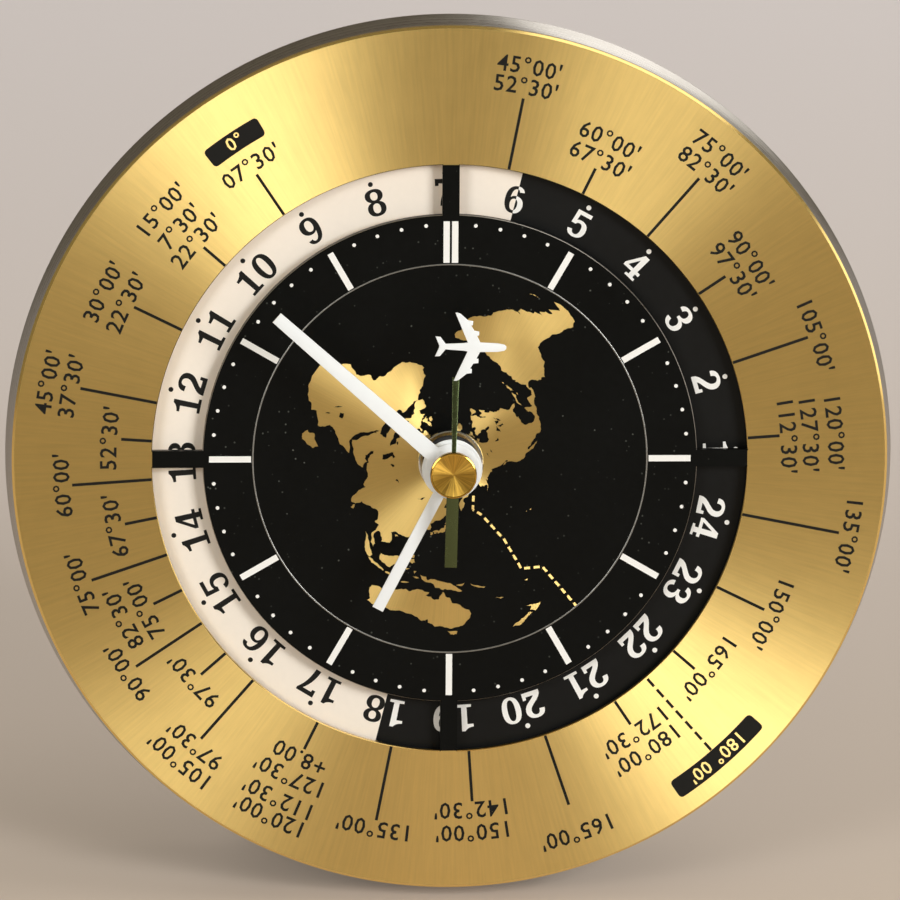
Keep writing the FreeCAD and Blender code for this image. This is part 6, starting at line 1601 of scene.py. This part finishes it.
class CLOCK_OT_movement(bpy.types.Operator):
    """Finishes of the movement's pieces, which keep the shapes of the frame"""
    bl_idname = "clock.movement"
    bl_label = "Movement"

    def execute(self, context):
        def plain(name, code, **values):
            return finish(name, (*linear(code), 1), **values)

        acetal = plain("moulded_white_acetal", "#E4E3DC", roughness=0.42, grain=0.5,
                       relief=0.004, tint=0.03, **{"Subsurface Weight": 0.1,
                                                   "Subsurface Scale": 0.0008})
        brass = plain("bright_turned_brass", "#D9B36A", metallic=1.0, roughness=0.25,
                      grain=0.6, relief=0.002, tint=0.06)
        lined(brass, hoops(brass.node_tree, 0.1), 0.001, tint=0.06)
        ground = plain("ground_steel", "#B8BABC", metallic=1.0, roughness=0.24, grain=0.4,
                       relief=0.002, tint=0.06)
        stamped = plain("stamped_core_steel", "#9FA2A6", metallic=1.0, roughness=0.38,
                        grain=0.8, relief=0.006, tint=0.1, streak=(0.3, 1, 1))
        bright = plain("nickelled_spring_steel", "#CFCCC4", metallic=1.0, roughness=0.28,
                       grain=0.7, relief=0.003, tint=0.06)
        module = plain("moulded_module_abs", "#28292B", roughness=0.5, grain=0.3,
                       relief=0.01, tint=0.1)
        nylon = plain("moulded_bobbin_nylon", "#D8CFB6", roughness=0.45, grain=0.5,
                      relief=0.004, tint=0.04)
        ferrite = plain("pressed_bonded_ferrite", "#2B2B2E", roughness=0.6, grain=0.15,
                        relief=0.01, tint=0.2)
        epoxy = plain("black_chip_epoxy", "#17181A", roughness=0.55, grain=0.12, relief=0.008,
                      tint=0.2)
        can = plain("drawn_crystal_can", "#C6C8CA", metallic=1.0, roughness=0.22,
                    grain=0.6, relief=0.002, tint=0.05, streak=(1, 1, 0.2))
        copper = wound("enamelled_copper_wire", (*linear("#B4602C"), 1), 0.25)
        finishes = {
            acetal: ["day_wheel", "hour_wheel", "minute_wheel", "second_wheel",
                     "third_wheel", "centre_wheel", "fifth_wheel", "rotor_pinion",
                     "gear_bridge"],
            brass: ["hour_collet", "minute_collet", "second_collet", "cannon_pinion"],
            ground: ["set_arbor", "clutch_spring", "door_hinge_pin"],
            stamped: ["stator", "coil_core"],
            bright: ["plus_contact", "minus_contact"],
            module: ["movement_front", "movement_rear"],
            nylon: ["coil_bobbin"], ferrite: ["rotor_magnet"], epoxy: ["driver_chip"],
            can: ["quartz_crystal"], copper: ["coil_winding"],
            etched_board(): ["circuit_board"],
            zinc_plate(): ["movement_screws", "foot_screws", "plate_studs"],
        }
        for material, nodes in finishes.items():
            for node in nodes:
                thing = frame["nodes"][node]
                if not thing.material_slots:
                    thing.data.materials.append(material)
                for place in thing.material_slots:
                    place.material = material
        left = [name for name, thing in frame["nodes"].items()
                if not thing.hide_render and not any(name in n for n in finishes.values())]
        if left:
            raise RuntimeError(f"no finish for {left}")
        return {"FINISHED"}


# ---------------------------------------------------------------- stage

# The camera: from the middle of the face, in metres and degrees.
CAMERA_AWAY, CAMERA_AZIMUTH, CAMERA_ELEVATION = 2.5, -2.4, 18.5
CAMERA_ROLL, CAMERA_RISE = 0.6, 0.00128
FLOOR_FRONT, FLOOR_BACK = -0.05, 0.45   # where the floor's shade starts and ends, in m
SKY_COLOUR = (1.0, 0.91, 0.66, 1)
COOL_WHITE = (0.94, 0.97, 1.0)


def direction(angle, tilt):
    """Unit vector in front of the face: tilt from its normal, towards a clock angle."""
    x, z = polar(math.sin(math.radians(tilt)), angle)
    return (RIGHT * x + UPWARD * z - INWARD * math.cos(math.radians(tilt))).normalized()


def lamp(name, angle, tilt, away, size, power, colour=(1, 1, 1)):
    """A soft area lamp that points at the middle of the face."""
    light = bpy.data.lights.new(name, "AREA")
    light.shape, light.size = "SQUARE", size
    light.energy, light.color = power, colour
    thing = bpy.data.objects.new(name, light)
    bpy.context.scene.collection.objects.link(thing)
    back = direction(angle, tilt)
    thing.location = FACE + back * away
    thing.rotation_mode = "QUATERNION"
    thing.rotation_quaternion = (-back).to_track_quat("-Z", "Y")
    return thing


class CLOCK_OT_stage(bpy.types.Operator):
    """Pale floor, plain soft lamps and the camera"""
    bl_idname = "clock.stage"
    bl_label = "Stage"

    def execute(self, context):
        stage = context.scene.clock_stage
        bm = bmesh.new()
        rows = [(-1.5, 0), (3.0, 0), (3.5, 0.12), (3.85, 0.42), (4.0, 0.9), (4.0, 3.0)]
        rings = [[bm.verts.new((x, y, z)) for x in (-3.0, 3.0)] for y, z in rows]
        for one, two in zip(rings, rings[1:]):
            bm.faces.new((one[0], one[1], two[1], two[0]))
        mesh = bpy.data.meshes.new("floor")
        bm.to_mesh(mesh)
        bm.free()
        mesh.shade_smooth()
        floor = bpy.data.objects.new("floor", mesh)
        context.scene.collection.objects.link(floor)
        material = bpy.data.materials.new("pale_floor_paper")
        material.use_nodes = True
        tree = material.node_tree
        tree.nodes.clear()
        place = add(tree, "ShaderNodeTexCoord", output="Object")
        deep = add(tree, "ShaderNodeSeparateXYZ", {}, {"Vector": place}, "Y")
        back_share = add(tree, "ShaderNodeMapRange", {}, {
            "Value": deep, "From Min": FLOOR_FRONT, "From Max": FLOOR_BACK})
        colour = add(tree, "ShaderNodeMix", {"data_type": "RGBA"}, {
            0: back_share, 6: (*stage.floor_near, 1), 7: (*stage.floor_far, 1)}, 2)
        seen = add(tree, "ShaderNodeLightPath", output="Is Camera Ray")
        close = add(tree, "ShaderNodeMapRange", {}, {
            # Just before the clock the floor glows for reflections alone, fading out 0.3 m back:
            # a painted reflection that brightens the metal parts.
            "Value": deep, "From Min": 0.0, "From Max": 0.3, "To Min": 0.5, "To Max": 0})
        mirrored = add(tree, "ShaderNodeMath", {"operation": "MULTIPLY"},
                       {0: seen.node.outputs["Is Glossy Ray"], 1: close})
        level = add(tree, "ShaderNodeMapRange", {}, {
            "Value": deep, "From Min": FLOOR_FRONT, "From Max": FLOOR_BACK,
            "To Min": 0.26, "To Max": 0.27})
        glow = add(tree, "ShaderNodeMath", {"operation": "MULTIPLY_ADD"},
                   {0: seen, 1: level, 2: mirrored})
        shader = add(tree, "ShaderNodeBsdfPrincipled", {}, {
            "Base Color": colour, "Roughness": 0.9, "Emission Color": colour,
            "Emission Strength": glow})
        add(tree, "ShaderNodeOutputMaterial", {}, {"Surface": shader})
        mesh.materials.append(material)

        lamp("key_lamp", 66, 40, 1.15, 0.42, stage.key, COOL_WHITE)
        lamp("second_lamp", 295, 40, 1.15, 0.42, stage.fill, COOL_WHITE)
        lamp("top_lamp", 30, 84, 1.15, 0.7, stage.top)
        lamp("side_lamp", 80, 84, 1.15, 0.5, stage.top / 2)
        lamp("back_lamp", 35, 140, 1.3, 0.6, stage.top)

        world = context.scene.world or bpy.data.worlds.new("plain_world")
        context.scene.world = world
        world.use_nodes = True
        tree = world.node_tree
        tree.nodes.clear()
        shade = add(tree, "ShaderNodeBackground", {}, {
            "Color": SKY_COLOUR, "Strength": stage.sky})
        add(tree, "ShaderNodeOutputWorld", {}, {"Surface": shade})

        azimuth, elevation = math.radians(CAMERA_AZIMUTH), math.radians(CAMERA_ELEVATION)
        back = Vector((math.sin(azimuth) * math.cos(elevation),
                       -math.cos(azimuth) * math.cos(elevation), math.sin(elevation)))
        data = bpy.data.cameras.new("photo_view")
        data.lens, data.sensor_width = stage.lens, 36
        data.clip_start, data.clip_end = 0.05, 20
        camera = bpy.data.objects.new("photo_view", data)
        context.scene.collection.objects.link(camera)
        camera.rotation_mode = "QUATERNION"
        turn = (-back).to_track_quat("-Z", "Y")
        camera.rotation_quaternion = turn @ Quaternion((0, 0, 1), math.radians(CAMERA_ROLL))
        rise = turn @ Vector((0, CAMERA_RISE, 0))
        camera.location = FACE + rise + back * CAMERA_AWAY
        context.scene.camera = camera
        context.scene.view_settings.view_transform = "Standard"
        return {"FINISHED"}


# ---------------------------------------------------------------- panel

OPERATORS = (
    CLOCK_OT_front_plate, CLOCK_OT_world_map, CLOCK_OT_chapter_ring, CLOCK_OT_zone_scale,
    CLOCK_OT_day_disc, CLOCK_OT_hour_and_minute, CLOCK_OT_second_hand, CLOCK_OT_hub,
    CLOCK_OT_case_rim, CLOCK_OT_drum_and_cover, CLOCK_OT_setting_knob, CLOCK_OT_foot,
    CLOCK_OT_fixings, CLOCK_OT_battery, CLOCK_OT_movement, CLOCK_OT_stage)


class CLOCK_PT_pieces(bpy.types.Panel):
    """The clock's pieces, its sizes and its colours"""
    bl_idname = "CLOCK_PT_pieces"
    bl_label = "World time clock"
    bl_space_type = "VIEW_3D"
    bl_region_type = "UI"
    bl_category = "Clock"

    def draw(self, context):
        layout = self.layout
        for group in (context.scene.clock_sizes, context.scene.clock_colours,
                      context.scene.clock_stage):
            box = layout.box()
            for key in group.__annotations__:
                box.prop(group, key)
        for operator in OPERATORS:
            layout.operator(operator.bl_idname)


CLASSES = (ClockSizes, ClockColours, ClockStage, *OPERATORS, CLOCK_PT_pieces)


def register():
    """Adds the clock's classes and its properties."""
    for one in CLASSES:
        bpy.utils.register_class(one)
    bpy.types.Scene.clock_sizes = PointerProperty(type=ClockSizes)
    bpy.types.Scene.clock_colours = PointerProperty(type=ClockColours)
    bpy.types.Scene.clock_stage = PointerProperty(type=ClockStage)


def unregister():
    """Takes the clock's properties and classes away again."""
    del bpy.types.Scene.clock_sizes
    del bpy.types.Scene.clock_colours
    del bpy.types.Scene.clock_stage
    for one in reversed(CLASSES):
        bpy.utils.unregister_class(one)


def main():
    """Builds every piece and the stage."""
    register()
    for operator in OPERATORS:
        name = operator.bl_idname.split(".")[1]
        getattr(bpy.ops.clock, name)()


if __name__ == "__main__":
    main()
